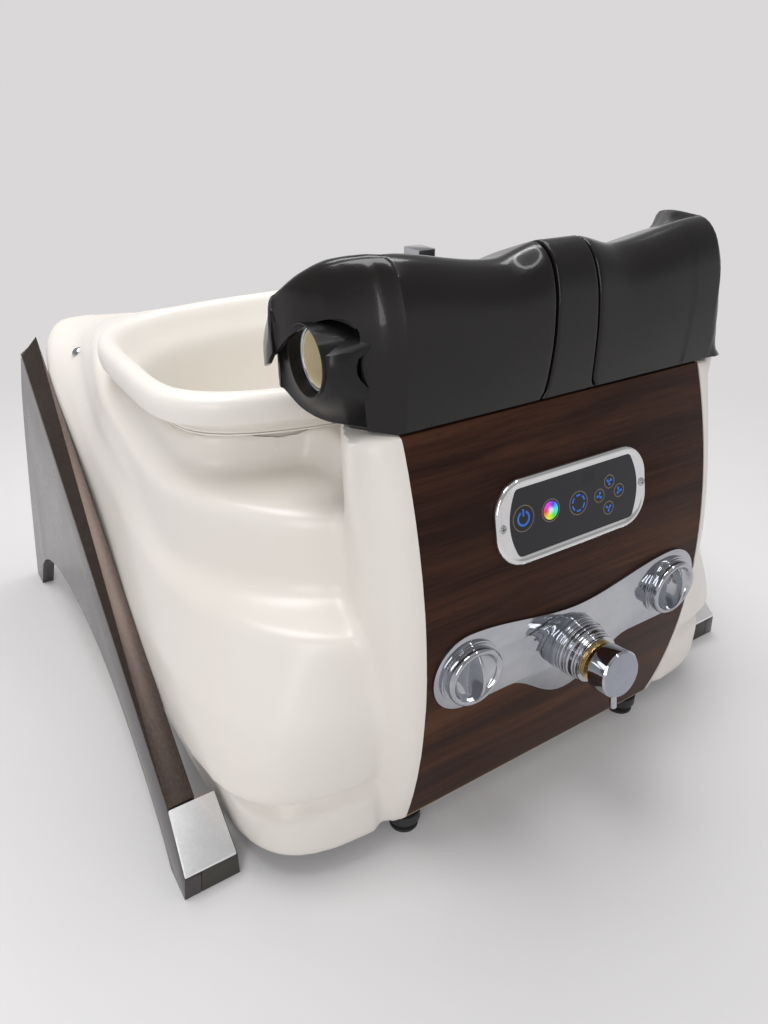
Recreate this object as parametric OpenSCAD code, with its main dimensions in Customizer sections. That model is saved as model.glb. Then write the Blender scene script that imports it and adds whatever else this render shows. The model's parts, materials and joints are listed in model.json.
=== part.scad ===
// Pedicure spa base: a foot tub in a moulded shell, between two raking arms,
// with a curved front panel, keypad, mixer, diverters and a padded-look footrest.
// +Z is up, -Y is the front, and the origin is on the floor under the middle.

/* [Arms] */
// How far an arm's foot stands outside the shell's top edge
arm_stand = 62; // [50:2:78]
// Lean of the arms towards the middle, in degrees
arm_lean = 7.3; // [5:0.1:9]
// Thickness of a side panel
arm_t = 16; // [12:1:18]
// Front of the arms, behind the origin
arm_front_y = -261; // [-270:1:-255]
// Where the trim strip meets the toe cap
seam_y = -214; // [-220:1:-205]
// Height of that seam
seam_z = 68; // [60:1:72]
// Rise of the strip for each millimetre back
arm_slope = 0.474; // [0.45:0.002:0.49]
// Back end of the trim strip
strip_back_y = 390; // [380:1:396]
// Furthest back of the arms
arm_back_y = 415; // [408:1:424]
// Height of the arch under an arm
arch_h = 106; // [90:1:112]

/* [Shell] */
// Half width of the shell at the top of its wall
shell_half_w = 322; // [318:1:324]
// Back of the shell from the tub's centre
shell_back = 374; // [366:1:378]
// Front of the rounded shell corner from the tub's centre
shell_front = 355; // [350:1:360]
// Wall of the moulded shell
shell_t = 5; // [3:0.5:7]
// Height of the lower ledge
ledge_low_z = 252; // [240:2:262]
// Height of the upper ledge
ledge_high_z = 342; // [334:2:348]
// Height of the deck that carries the bowl
deck_z = 385; // [380:1:388]
// Height of the side ridge at the back
ridge_z = 406; // [402:1:410]

/* [Tub] */
// From the shell's top edge in to the tub's rim
rim_side = 20; // [18:1:26]
// Middle of the tub, behind the origin
tub_y = 40; // [36:1:44]
// Rim from the tub's middle to its back
rim_back = 178; // [172:1:184]
// Rim from the tub's middle to its front corners
rim_front = 176; // [170:1:180]
// Bow of the front rim
rim_bow = 42; // [36:1:46]
// Top of the rim
rim_z = 435; // [432:1:436]
// Depth of the rolled rim
rim_drop = 30; // [26:1:30]
// Width of the rolled rim
rim_w = 24; // [20:1:28]
// Wall of the tub
tub_t = 5; // [4:0.5:7]
// Inside floor of the tub
tub_floor_z = 150; // [140:2:180]

/* [Front panel] */
// Width of the front panel
panel_w = 344; // [336:2:348]
// Radius of its bow, seen from the side
panel_r = 600; // [580:5:640]
// Front of the bow
panel_y = -345; // [-348:1:-343]
// Height of the bow's foremost line
panel_mid_z = 215; // [205:5:225]
// Plywood thickness
panel_t = 12; // [10:1:14]
// Lower edge of the panel
panel_low_z = 35; // [32:1:40]
// Upper edge of the panel
panel_top_z = 438; // [434:1:440]

/* [Footrest] */
// Half width over the footrest's ends
rest_half_w = 234; // [228:1:240]
// Half width of the straight front face
rest_face_w = 170; // [164:1:176]
// Underside of the footrest
rest_low_z = 441; // [440:1:444]
// Top at the outer ends
rest_top_z = 568; // [560:1:574]
// Sag of each pad between its ends
rest_sag = 14; // [10:1:24]
// Front of the footrest
rest_front_y = -300; // [-304:1:-298]
// Back of the footrest
rest_back_y = -158; // [-164:1:-154]
// Wall of the footrest mouldings
rest_t = 5; // [4:0.5:6]
// Outer radius of the sprayer ring
ring_r = 27; // [25:0.5:29]
// Bore radius of the sprayer socket
socket_r = 21; // [19:0.5:22]
// Depth of the sprayer socket
socket_depth = 62; // [50:1:70]

/* [Controls] */
// Keypad centre, from the middle
keypad_x = -8; // [-14:1:4]
// Keypad centre height
keypad_z = 347; // [342:1:352]
// Keypad bezel width
bezel_w = 180; // [172:1:184]
// Keypad bezel height
bezel_h = 78; // [72:1:80]
// Distance from the panel's edge to a diverter knob
knob_edge = 44; // [42:1:50]
// Height of the diverter knobs
knob_z = 222; // [218:1:226]
// Knob radius
knob_r = 29; // [27:0.5:30]
// Height of the mixer
mixer_z = 200; // [196:1:204]
// Radius of the mixer's sleeve
mixer_r = 28; // [25:0.5:29]
// Radius of the mixer's cap
cap_r = 23; // [21:0.5:24]
// Tilt of the cap as it stands, in degrees
cap_tilt = 10; // [6:1:12]

/* [Plumbing] */
// Outer radius of the waste tailpiece
tail_r = 20; // [19:0.5:22]
// Outer radius of the supply pipes
pipe_r = 7.5; // [6:0.5:9]

/* [Hidden] */
$fn = 48;

// Gaps that let pieces go together
seat = 0.3;
slip = 0.06;
tiny = 0.01;
big = 2000;

// Widths that follow the shell and the panel
arm_half_w = shell_half_w + arm_stand;
rim_half_w = shell_half_w - rim_side;
knob_x = panel_w / 2 - knob_edge;

// Shell: heights of the base moulding and the groove above it
base_z = 22;
base_top_z = 84;
groove_z = 93;
wall_z = 108;
groove_in = 12;
wall_draft = 11;
base_in = 4;
front_flat_y = -283;
front_top_z = 438;
column_turn = 30;
column_half_w = panel_w / 2 + 29;
column_flare = 12;
column_nose_w = 24;
column_nose_d = 36;
column_back_y = -214;
deck_land = 10;
cap_turn = 139.26;
cap_share = 0.2062;
cap_rise = 0.53;
hole_in = 33;

// Tub
neck_in = hole_in + 4;
waist_in = 52;
waist_z = 300;
heel_in = 70;
heel_z = tub_floor_z + 42;
ledge_out = 7;
gasket_t = 1.5;
drain_y = tub_y - 20;
drain_r = 21;

// Arms
arch_front_y = -222;
arch_back_y = 372;
arch_peak = 0.55;
strip_t = 3;
strip_front_w = 26;
strip_back_w = 19;
strip_front_rise = 6;
strip_back_rise = 26;
toe_w = 54;
toe_lip_z = 27;
cap_t = 3;

// Frame
bar_z = 10;
bar_t = 12;
bar_w = 28;
rail_x = arm_half_w - 134;
rail_w = 25;
foot_x = 160;
foot_front_y = -296;
foot_back_y = 386;
bar_front_y = -270;
bar_back_y = 394;
bar_half_w = rail_x + 12;
bolt_r = 6;
plate_w = 4;
bolt_places = [[120, 150], [300, 150], [300, 250]];

// Footrest
spine_top_w = 21;
spine_low_w = 30;
groove_w = 2.4;
plate_t = rest_low_z - front_top_z;
sprayer_x = 212;
socket_y = -250;
socket_z = 492.5;
spout_x = -45;
spout_y = -143;
spout_top_z = 541;

// Controls
bezel_t = 6;
bezel_r = 30;
glass_w = 142;
glass_h = 60;
glass_r = 7;
glass_dx = -2.5;
screw_x = bezel_w / 2 - 6;
plate_r = 39;
plate_thick = 3;
plate_face_y = panel_y - plate_thick;
stem_r = 6;
ball_r = 11;
mixer_stem_r = 14;
sleeve_h = 30;
ball_at = sleeve_h + 14;
lever_at = ball_at + 7;
body_front_y = panel_y + panel_t + 3;
body_depth = front_flat_y - body_front_y - 2;
body_front_y_in = -(body_front_y - plate_face_y) - 4;
pipe_y = -295;
supply_z = 44;
jet_x = 0;
jet_z = 240;
jet_r = 31;
lamp_x = 78;
lamp_r = 14;

function lerp(a, b, t) = a + (b - a) * t;
function unit(t) = min(1, max(0, t));
function ease(t) = let (c = unit(t)) c * c * (3 - 2 * c);
function soft_max(a, b, k) = let (h = unit(0.5 + (a - b) / (2 * k))) lerp(b, a, h) + k * h * (1 - h);
function soft_min(a, b, k) = -soft_max(-a, -b, k);
function hump(t) = pow(max(0, 1 - t * t), 2);

// Radius of a squared oval in direction phi
function oval(phi, a, b, n) = pow(pow(abs(cos(phi)) / a, n) + pow(abs(sin(phi)) / b, n), -1 / n);

// Stations round the tub: from the back over the left to the front, then mirrored
half_turn = concat([for (a = [90:6:174]) a], [for (a = [180:3:234]) a], [237, 239.3, 241, 247, 254, 262]);
stations = concat(half_turn, [270], [for (i = [len(half_turn) - 1:-1:1]) 540 - half_turn[i]]);

// Triangles between stacked rings of n points, closed by a fan at each end
function skin(rings, n) = concat(
    [for (k = [0:rings - 2]) for (i = [0:n - 1]) let (j = (i + 1) % n)
        each [[k * n + i, k * n + j, (k + 1) * n + j], [k * n + i, (k + 1) * n + j, (k + 1) * n + i]]],
    [for (i = [0:n - 1]) [rings * n, (i + 1) % n, i]],
    [for (i = [0:n - 1]) [rings * n + 1, (rings - 1) * n + i, (rings - 1) * n + (i + 1) % n]]);

function mean(list) = [for (k = [0:2]) let (s = [for (p = list) p[k]]) (max(s) + min(s)) / 2];

// A solid through rings of points, listed from the bottom to the top
module loft(rings) {
    n = len(rings[0]);
    points = concat([for (r = rings) each r], [mean(rings[0]), mean(rings[len(rings) - 1])]);
    polyhedron(points, [for (f = skin(len(rings), n)) [f[2], f[1], f[0]]], convexity = 12);
}

// An outline in Y and Z, drawn out along X from x
module along_x(x, w) {
    translate([x, 0, 0]) rotate([90, 0, 90]) linear_extrude(w) children();
}

// Places a piece on a spot of the bowed panel, +Z outwards
module on_panel(x, z) {
    a = asin((z - panel_mid_z) / panel_r);
    translate([x, panel_y + panel_r * (1 - cos(a)), z]) rotate([90 - a, 0, 0]) children();
}

// Places a piece on the valve plate, +Z towards the front
module on_plate(x, z) {
    translate([x, plate_face_y, z]) rotate([90, 0, 0]) children();
}

module panel_cylinder(r, w) {
    translate([-w / 2, panel_y + panel_r, panel_mid_z]) rotate([0, 90, 0]) cylinder(r = r, h = w, $fn = 720);
}

module mirrored() {
    children();
    mirror([1, 0, 0]) children();
}

// ---------- Shell ----------

function is_column(phi) = abs(phi - 270) < column_turn;

function wall_r(phi, wide, square) = let (
    r = sin(phi) < 0 ? oval(phi, wide, shell_front, square) : oval(phi, wide, shell_back, 8))
    is_column(phi) ? min(r, (tub_y - front_flat_y) / abs(sin(phi))) : r;

function rim_xy(phi, inset) = let (
    a = rim_half_w - inset,
    front = sin(phi) < 0,
    r = front ? oval(phi, a, rim_front - inset, 7) : oval(phi, a, rim_back - inset, 3.2),
    x = r * cos(phi))
    [x, tub_y + r * sin(phi) - (front ? rim_bow * (1 - pow(x / a, 2)) * unit(-4 * sin(phi)) : 0)];

// Height of the outer crest, which follows the trim strip down to the lower ledge
function crest_z(y) = soft_min(ridge_z - 6, soft_max(ledge_low_z, 84 + 0.508 * (y + 220), 30), 10);
// Height of the inner crest, which turns into the upper ledge
function ridge_line_z(y) = soft_min(ridge_z, soft_max(ledge_high_z, 369 + 0.25 * (y - 79), 14), 10);

// Height of the shell's upper surface a share f of the way from the wall to the bowl
function terrace_z(phi, x, y, f, land) = let (
    front = ease((60 - y) / 170),
    side = ease((phi < 270 ? phi - 225 : 315 - phi) / 12),
    back = ease((abs(y) - 330) / 60) * (y > 0 ? 1 : 0),
    sag = back * 20 * (1 - pow(unit(abs(x) / 280), 3)),
    low = crest_z(y) - sag,
    high = ridge_line_z(y) - sag * 0.6,
    riser = lerp(land, 0.62, side),
    tread = lerp(lerp(low, high, 0.5), low + 9, front),
    foot = lerp(lerp(low, high, 0.72), low + 14, front))
    f < 0.03 ? low - 9 * (1 - f / 0.03) :
    f < 0.09 ? lerp(low, lerp(lerp(low, high, 0.2), low + 2, front), (f - 0.03) / 0.06) :
    f < 0.22 ? lerp(lerp(lerp(low, high, 0.2), low + 2, front), tread, (f - 0.09) / 0.13) :
    f < 0.27 ? lerp(tread, foot, (f - 0.22) / 0.05) :
    f < 0.36 ? lerp(foot, high - 5, ease((f - 0.27) / 0.09)) :
    f < 0.43 ? lerp(high - 5, high, (f - 0.36) / 0.07) :
    f < riser ? lerp(high, lerp(deck_z + 2, high + 9, front),
        ease((f - 0.43) / (lerp(0.3, riser - 0.43, front)))) :
    f < 0.95 ? lerp(lerp(deck_z + 2, high + 9, front), deck_z, ease((f - riser) / 0.07)) : deck_z;

function column_z(f) = front_top_z - 10 * (1 - unit(f / 0.04))
    - (front_top_z - deck_z) * ease((f - 0.58) / 0.2);

function shell_point(phi, f, t) = let (
    outer = wall_r(phi, shell_half_w, 3.5) - t,
    inner_xy = rim_xy(phi, hole_in + 3),
    inner = norm(inner_xy - [0, tub_y]),
    r = lerp(outer, inner, f),
    x = r * cos(phi),
    y = tub_y + r * sin(phi),
    land = min(0.85, 1 - (deck_land + 3) / (outer - inner) - 0.08),
    turn = t > 0 && abs(abs(phi - 270) - column_turn) < 6)
    [x, y, (turn ? min(column_z(f), terrace_z(phi, x, y, f, land)) - t :
        is_column(phi) ? column_z(f) : terrace_z(phi, x, y, f, land)) - t];

function wall_ring(z, out, square, wide, t) = [for (phi = stations)
    let (r = wall_r(phi, wide, square) + out - t) [r * cos(phi), tub_y + r * sin(phi), z]];

shares = [0, 0.03, 0.09, 0.16, 0.22, 0.27, 0.30, 0.33, 0.36, 0.43, 0.52, 0.62, 0.655, 0.69, 0.735, 0.77,
    0.81, 0.87, 0.9, 0.93, 1];
base_half_w = shell_half_w - base_in;

function shell_rings(t, low) = concat(
    [wall_ring(low, -8, 7, base_half_w, t), wall_ring(low + 7, 0, 7, base_half_w, t),
     wall_ring(base_top_z - 8, 0, 7, base_half_w, t), wall_ring(base_top_z, -3, 6.5, base_half_w, t),
     wall_ring(groove_z, -groove_in, 6, base_half_w, t), wall_ring(wall_z - 8, -2, 5, shell_half_w + 6, t),
     wall_ring(wall_z, 0, 5, shell_half_w + wall_draft, t),
     wall_ring(lerp(wall_z, ledge_low_z, 0.45), 0, 4.2, shell_half_w + wall_draft / 2, t)],
    [for (f = t > 0 ? [0, 0.09, 0.22, 0.27, 0.36, 0.43, 0.62, 0.69, 0.77, 0.81, 1] : shares)
        [for (phi = stations) shell_point(phi, f, t)]]);

function column_y(z, t) = panel_y + panel_r - sqrt(pow(panel_r, 2) - pow(z - panel_mid_z, 2)) - 1 + t;
function column_x(z) = column_half_w + column_flare * ease((z - 280) / 150);

// One front column: it follows the panel's bow and turns its outer corner
module column_form(t) {
    levels = [for (z = [base_z + 8:26:front_top_z]) z];
    zs = t > 0 ? concat([base_z - 20], levels, [front_top_z - t]) : concat(levels, [front_top_z]);
    loft([for (z = zs) let (y = column_y(z, t), x = column_x(z) - t) concat(
        [for (a = [0:15:90]) [panel_w / 2 + 1 + t + (column_nose_w - 2 * t) * sin(a),
                              y + min(column_nose_d, front_flat_y - 12 - y) * (1 - cos(a)), z]],
        [[x, front_flat_y - 8, z], [x - 5, front_flat_y + 12, z],
         [panel_w / 2 + 15 - t, column_back_y - 20, z],
         [panel_w / 2 + 1 + t, column_back_y - t, z]])]);
}

module shell_form(t) {
    loft(shell_rings(t, t > 0 ? base_z - 20 : base_z));
    mirrored() column_form(t);
}

module bowl_outline(inset) {
    polygon([for (phi = stations) rim_xy(phi, inset)]);
}

// Arm bolts start inside the side panel and run inwards to the frame
function bolt_start_x(z) = -arm_half_w + z * tan(arm_lean) + 4;
module arm_bolt_axes() {
    for (p = bolt_places) translate([bolt_start_x(p[1]), p[0], p[1]]) rotate([0, 90, 0]) children();
}

module outer_shell() {
    color("ivory") difference() {
        shell_form(0);
        shell_form(shell_t);
        translate([0, 0, deck_z - 60]) linear_extrude(front_top_z) bowl_outline(hole_in);
        mirrored() arm_bolt_axes() cylinder(r = bolt_r + 1, h = 90);
        deck_cap_places() cylinder(r = 4, h = 40, center = true);
    }
}

module deck_cap_places() {
    mirrored() translate(shell_point(cap_turn, cap_share, 0) + [0, 0, cap_rise])
        rotate([5.3, -33.8, 0]) children();
}

module deck_caps() {
    color("silver") deck_cap_places() {
        translate([0, 0, -10]) cylinder(r = 3.9, h = 12);
        translate([0, 0, 1.6]) cylinder(r1 = 7, r2 = 4.5, h = 1.8);
    }
}

// ---------- Tub ----------

// Inset from the rim's outline and height, up the dry side, over the rim and down the wet side
bowl_profile = concat(
    [[150, tub_floor_z - tub_t], [108, tub_floor_z - tub_t + 2], [88, tub_floor_z + 6]],
    [[heel_in, heel_z], [waist_in, waist_z], [neck_in + 2, 350], [neck_in, deck_z - 4],
     [neck_in, deck_z + gasket_t], [hole_in - ledge_out, deck_z + gasket_t],
     [rim_w + 1, rim_z - rim_drop - 4]],
    [[rim_w, rim_z - rim_drop], [4, rim_z - rim_drop], [1, rim_z - rim_drop + 3], [0, rim_z - rim_drop + 9],
     [0, rim_z - 11], [2, rim_z - 5], [6, rim_z - 1.5], [11, rim_z], [16, rim_z - 0.8], [20, rim_z - 4],
     [rim_w, rim_z - 10]],
    [[rim_w + 6, rim_z - 23], [neck_in + 1, deck_z + 15], [neck_in + tub_t + 1, deck_z + 3],
     [neck_in + tub_t + 5, 350], [waist_in + tub_t, waist_z], [heel_in + tub_t, heel_z + 2],
     [87 + tub_t, tub_floor_z + 13], [112, tub_floor_z + 2], [150, tub_floor_z]]);

module basin_bowl() {
    color("floralwhite") difference() {
        loft([for (p = bowl_profile) [for (phi = stations) concat(rim_xy(phi, p[0]), p[1])]]);
        translate([0, drain_y, tub_floor_z - 20]) cylinder(r = drain_r, h = 40);
        on_back_wall(jet_x) cylinder(r = jet_r, h = 40, center = true);
        on_back_wall(lamp_x) cylinder(r = lamp_r, h = 40, center = true);
    }
}

module bowl_gasket() {
    color("dimgray") translate([0, 0, deck_z + 0.01]) linear_extrude(gasket_t - 0.02) difference() {
        bowl_outline(hole_in - ledge_out + 1);
        bowl_outline(neck_in - 3);
    }
}

module drain_flange() {
    color("silver") translate([0, drain_y, 0]) difference() {
        union() {
            translate([0, 0, tub_floor_z + seat]) cylinder(r1 = 32, r2 = 28, h = 4);
            translate([0, 0, tub_floor_z - 25]) cylinder(r = drain_r - seat, h = 28);
        }
        translate([0, 0, tub_floor_z - 30]) cylinder(r = drain_r - 4, h = 40);
        translate([0, 0, tub_floor_z + 1.5]) cylinder(r = 24.5, h = 10);
    }
    color("silver") translate([0, drain_y, tub_floor_z - 22]) difference() {
        union() {
            cylinder(r = 4, h = 16);
            for (a = [0:120:240]) rotate(a) translate([-1.5, 0, 0]) cube([3, drain_r - 3.5, 6]);
        }
        translate([0, 0, -1]) cylinder(r = 2.5 + slip, h = 20);
    }
}

module drain_stopper() {
    color("gainsboro") translate([0, drain_y, tub_floor_z]) {
        translate([0, 0, 1.8]) cylinder(r1 = 24, r2 = 21, h = 5);
        translate([0, 0, -30]) cylinder(r = 2.5, h = 33);
    }
}

module drain_tailpiece() {
    color("lightgray") translate([0, drain_y, 62]) difference() {
        union() {
            cylinder(r = tail_r, h = tub_floor_z - tub_t - 64 - seat);
            translate([0, 0, 56]) cylinder(r = 30, h = 14, $fn = 6);
        }
        translate([0, 0, -1]) cylinder(r = tail_r - 2, h = 70);
        translate([0, 0, 60]) cylinder(r = drain_r, h = 60);
    }
}

// ---------- Front panel ----------

module panel_band(r_out, r_in, low, high, w) {
    intersection() {
        difference() {
            panel_cylinder(r_out, w);
            panel_cylinder(r_in, w + 2);
        }
        translate([-w, panel_y - 20, low]) cube([2 * w, 200, high - low]);
    }
}

module front_panel() {
    color("saddlebrown") difference() {
        panel_band(panel_r, panel_r - panel_t, panel_low_z, panel_top_z - seat, panel_w);
        on_panel(keypad_x, keypad_z) cube([bezel_w - 44, bezel_h - 34, 80], center = true);
        for (s = [-1, 1]) on_keypad() translate([s * screw_x, 0, 0])
            cylinder(r = 2 + slip, h = 60, center = true);
        for (s = [-1, 1]) on_plate(s * knob_x, knob_z) cylinder(r = 16, h = 60, center = true);
        on_plate(0, mixer_z) cylinder(r = 18, h = 60, center = true);
    }
}

module panel_cleats() {
    color("burlywood") mirrored() difference() {
        translate([panel_w / 2 - 20, panel_y - 10, 60]) cube([16, front_flat_y - panel_y + 10 - seat, 340]);
        difference() {
            translate([0, panel_y - 30, 0]) cube([panel_w, 120, 500]);
            panel_cylinder(panel_r - panel_t, 2 * panel_w);
        }
    }
}

// ---------- Arms ----------

function bolt_top(y) = max([for (p = bolt_places) p[0] == y ? p[1] : 0]) + 16;
function arch(u) = arch_h * (u < arch_peak ? pow(sin(90 * u / arch_peak), 0.8)
    : sqrt(1 - pow((u - arch_peak) / (1 - arch_peak), 2.5)));
function strip_z(y) = seam_z + arm_slope * (y - seam_y);

module arm_outline() {
    polygon(concat(
        [[arm_front_y, 0], [arm_front_y, toe_lip_z], [seam_y, seam_z],
         [strip_back_y - 8, strip_z(strip_back_y - 8)],
         [strip_back_y + 2, strip_z(strip_back_y) - 6], [arm_back_y - 6, 300], [arm_back_y, 230],
         [arm_back_y, 120],
         [arm_back_y - 7, 0]],
        [for (i = [0:32]) let (u = 1 - i / 32) [lerp(arch_front_y, arch_back_y, u), arch(u)]]));
}

module lean() {
    translate([-arm_half_w, 0, 0]) rotate([0, arm_lean, 0]) children();
}

module side_panel() {
    difference() {
        lean() along_x(0, arm_t) arm_outline();
        translate([-big / 2, -big / 2, -big]) cube([big, big, big]);
        arm_bolt_axes() cylinder(r = bolt_r + slip, h = 40);
    }
}

module side_panel_left() { color("dimgray") side_panel(); }
module side_panel_right() { color("dimgray") mirror([1, 0, 0]) side_panel(); }

// The strip is a wedge: its top tips outwards, more so towards the back
module trim_strip() {
    ends = [[seam_y + seat, strip_front_w, strip_front_rise],
        [strip_back_y - 8, strip_back_w + 1, strip_back_rise],
            [strip_back_y + 1, strip_back_w, strip_back_rise - 9]];
    lean() loft([for (e = ends) let (z = strip_z(min(e[0], strip_back_y - 8)) + tiny) [
        [0, e[0], z], [0, e[0], z + strip_t], [e[1], e[0], z + strip_t + e[2]], [e[1], e[0], z]]]);
}

module trim_strip_left() { color("rosybrown") trim_strip(); }
module trim_strip_right() { color("rosybrown") mirror([1, 0, 0]) trim_strip(); }

module toe_profile(extra) {
    polygon([[arm_front_y, 0], [arm_front_y, toe_lip_z + extra],
             [seam_y - extra * 0.4, seam_z + extra * 0.9], [seam_y - extra * 0.4, 0]]);
}

module toe_block() {
    inner = arm_half_w - arm_t - 2;
    difference() {
        translate([-inner - 12, 0, 0]) along_x(0, toe_w - arm_t + 12) toe_profile(0);
        lean() translate([-50, -big / 2, -100]) cube([50 + arm_t + seat, big, 400]);
    }
}

module toe_block_left() { color("darkolivegreen") toe_block(); }
module toe_block_right() { color("darkolivegreen") mirror([1, 0, 0]) toe_block(); }

module toe_cap() {
    difference() {
        translate([-arm_half_w - 1, 0, 0]) along_x(0, toe_w + 2) difference() {
            toe_profile(cap_t);
            toe_profile(seat / 2);
            translate([arm_front_y - 5, -1]) square([200, toe_lip_z - 4]);
        }
        lean() translate([-60, -big / 2, -100]) cube([60, big, 400]);
    }
}

module toe_cap_left() { color("lightgray") toe_cap(); }
module toe_cap_right() { color("lightgray") mirror([1, 0, 0]) toe_cap(); }

// ---------- Frame ----------

module crossbar(y, foot_y) {
    difference() {
        union() {
            translate([-bar_half_w, y - bar_w / 2, bar_z]) cube([2 * bar_half_w, bar_w, bar_t]);
            for (s = [-1, 1]) translate([s * foot_x, foot_y, bar_z]) cylinder(r = 17, h = bar_t);
        }
        for (s = [-1, 1]) translate([s * foot_x, foot_y, 0]) cylinder(r = 5 + slip, h = 60);
    }
}

module front_crossbar() { color("darkslategray") crossbar(bar_front_y, foot_front_y); }
module rear_crossbar() { color("darkslategray") crossbar(bar_back_y, foot_back_y); }

module frame_rail() {
    translate([-rail_x - rail_w / 2, bar_front_y - bar_w / 2, bar_z + bar_t])
        cube([rail_w, bar_back_y - bar_front_y + bar_w - 16, rail_w]);
    difference() {
        for (y = [bolt_places[0][0], bolt_places[1][0]]) {
            translate([-rail_x - rail_w / 2, y - 16, bar_z + bar_t])
                cube([plate_w, 32, bolt_top(y) - bar_z - bar_t]);
        }
        arm_bolt_axes() cylinder(r = bolt_r + slip, h = 200);
    }
}

module frame_rail_left() { color("slategray") frame_rail(); }
module frame_rail_right() { color("slategray") mirror([1, 0, 0]) frame_rail(); }

module foot_places() {
    for (s = [-1, 1]) for (y = [foot_front_y, foot_back_y]) translate([s * foot_x, y, 0]) children();
}

module levelling_feet() {
    color("black") foot_places() {
        cylinder(r = 15, h = 3);
        translate([0, 0, 3]) cylinder(r1 = 15, r2 = 8, h = 1.5);
        cylinder(r = 5, h = bar_z + bar_t - 1);
    }
}

module jam_nuts() {
    color("silver") foot_places() translate([0, 0, bar_z - 5]) difference() {
        cylinder(r = 9.5, h = 5, $fn = 6);
        translate([0, 0, -1]) cylinder(r = 5 + slip, h = 10);
    }
}

module arm_bolts() {
    color("gray") mirrored() for (p = bolt_places) {
        reach = -rail_x - rail_w / 2 + plate_w - bolt_start_x(p[1]);
        translate([bolt_start_x(p[1]), p[0], p[1]]) rotate([0, 90, 0]) {
            translate([0, 0, 2]) cylinder(r = bolt_r, h = reach);
            translate([0, 0, reach]) cylinder(r = 10, h = 6, $fn = 6);
        }
    }
}

// ---------- Footrest ----------

// How far the plan outline falls back past the straight face, against the share of the end's width
end_front = [[0, 0], [0.27, 14], [0.5, 29], [0.69, 43], [0.84, 59], [0.93, 73], [0.98, 88], [1, 98]];
// The right end is squarer, with no pocket in it
end_square = [[0, 0], [0.4, 0], [0.5, 3], [0.58, 10], [0.66, 24], [0.78, 46], [0.9, 68], [1, 90]];
end_back = [[0, 0], [0.45, 1], [0.6, 3], [0.75, 9], [0.86, 18], [0.94, 29], [0.98, 37], [1, 43]];
// Plan of the front, lean with height, where the top starts to fall, by how much, and its power
round_end = [end_front, 0.08, 84, 60, 2.7];
square_end = [end_square, 0.42, 50, 52, 2.2];
// Offset from the front, share of the height
rest_face = [[8, 0], [6, 0.2], [5.5, 0.4], [7, 0.57], [9.5, 0.7], [13.5, 0.8], [17.5, 0.87], [22, 0.92],
    [29, 0.97], [39, 1], [52, 0.975]];
rest_rear = [[62, 0.86], [34, 0.74], [14, 0.63], [4, 0.54], [0, 0.45], [0, 0]];
rest_bulge = 12;

function end_fall(a, end) = a < rest_half_w - end[2] ? 0
    : end[3] * (1 - sqrt(1 - pow(min(1, (a - rest_half_w + end[2]) / end[2]), end[4])));
function rest_top(x, end) = let (a = abs(x)) rest_top_z
    - rest_sag * (ease((180 - a) / 115) - 0.72 * ease((66 - a) / 50)) - end_fall(a, end);
function rest_front(s, high, end) = rest_front_y - rest_bulge
    + lookup(s + end[1] * sqrt(high) * unit(s / 0.15), end[0]);

function rest_section(x, t, end) = let (
    s = unit((abs(x) + t - rest_face_w) / (rest_half_w - rest_face_w)),
    front = rest_front(s, 1, end) + t,
    back = max(front + 3, rest_back_y - t - lookup(s, end_back)),
    low = t > 0 ? rest_low_z - 10 : rest_low_z,
    tall = rest_top(abs(x) + t, end) - t - low,
    k = min(1, (back - front) / 125))
    concat([for (p = rest_face) [x, rest_front(s, p[1], end) + t + p[0] * k, low + p[1] * tall]],
           [for (p = rest_rear) [x, back - p[0] * k, low + p[1] * tall]]);

rest_stations = [0, 15, 35, 60, 85, 110, 135, 152, 170, 187, 198, 204, 209, 214, 219, 224, 229, 232.5, 234];

module rest_form(t, end = round_end) {
    xs = [for (x = rest_stations) x * (rest_half_w - t) / rest_half_w];
    mirrored() loft([for (x = xs) rest_section(-x, t, end)]);
}

function spine_x(z) = lerp(spine_low_w, spine_top_w,
    pow(unit((z - rest_low_z) / (rest_top_z - rest_low_z)), 0.3));

module spine_prism(grow) {
    levels = [for (z = [rest_low_z - 20:12:rest_top_z + 10]) z];
    translate([0, rest_back_y + 40, 0]) rotate([90, 0, 0]) linear_extrude(260) polygon(concat(
        [for (z = levels) [-spine_x(z) - grow, z]],
        [for (i = [len(levels) - 1:-1:0]) [spine_x(levels[i]) + grow, levels[i]]]));
}

module arch_opening() {
    translate([rest_front_y, rest_low_z]) polygon([[15, -5], [15, 1], [18, 39], [20, 65], [21.5, 76],
        [28, 82.5], [34, 83.7], [48.4, 79.6], [71.5, 65], [91, 46], [98, 38],
        [108, 33], [150, 33], [150, -5]]);
    translate([socket_y, socket_z]) circle(ring_r + 1.2);
}

// The pocket's skin in Y and Z: its underside climbs to a tip at the back
module pocket_outline() {
    translate([rest_front_y, rest_low_z]) polygon([[14, 0], [44, 0], [68, 6], [87, 14], [103, 22], [112, 29],
        [112, 50], [86, 68], [62, 95], [30, 95], [14, 85]]);
}

module footrest_pad(end) {
    difference() {
        rest_form(0, end);
        rest_form(rest_t, end);
        spine_prism(groove_w);
        translate([0, -big / 2, 0]) cube([big, big, big]);
    }
}

module footrest_pad_left() {
    color("dimgray") difference() {
        footrest_pad(round_end);
        along_x(-rest_half_w - 10, 66) arch_opening();
    }
}

module footrest_pad_right() { color("dimgray") mirror([1, 0, 0]) footrest_pad(square_end); }

module footrest_spine() {
    color("dimgray") intersection() {
        difference() {
            rest_form(0);
            rest_form(rest_t);
        }
        spine_prism(0);
    }
}

plate_half = [[172, 1], [196, 34], [196, 50], [180, 65], [180, 140]];
spout_tongue = [[20, -2], [20, 30], [-20, 30], [-20, -2]];

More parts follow.
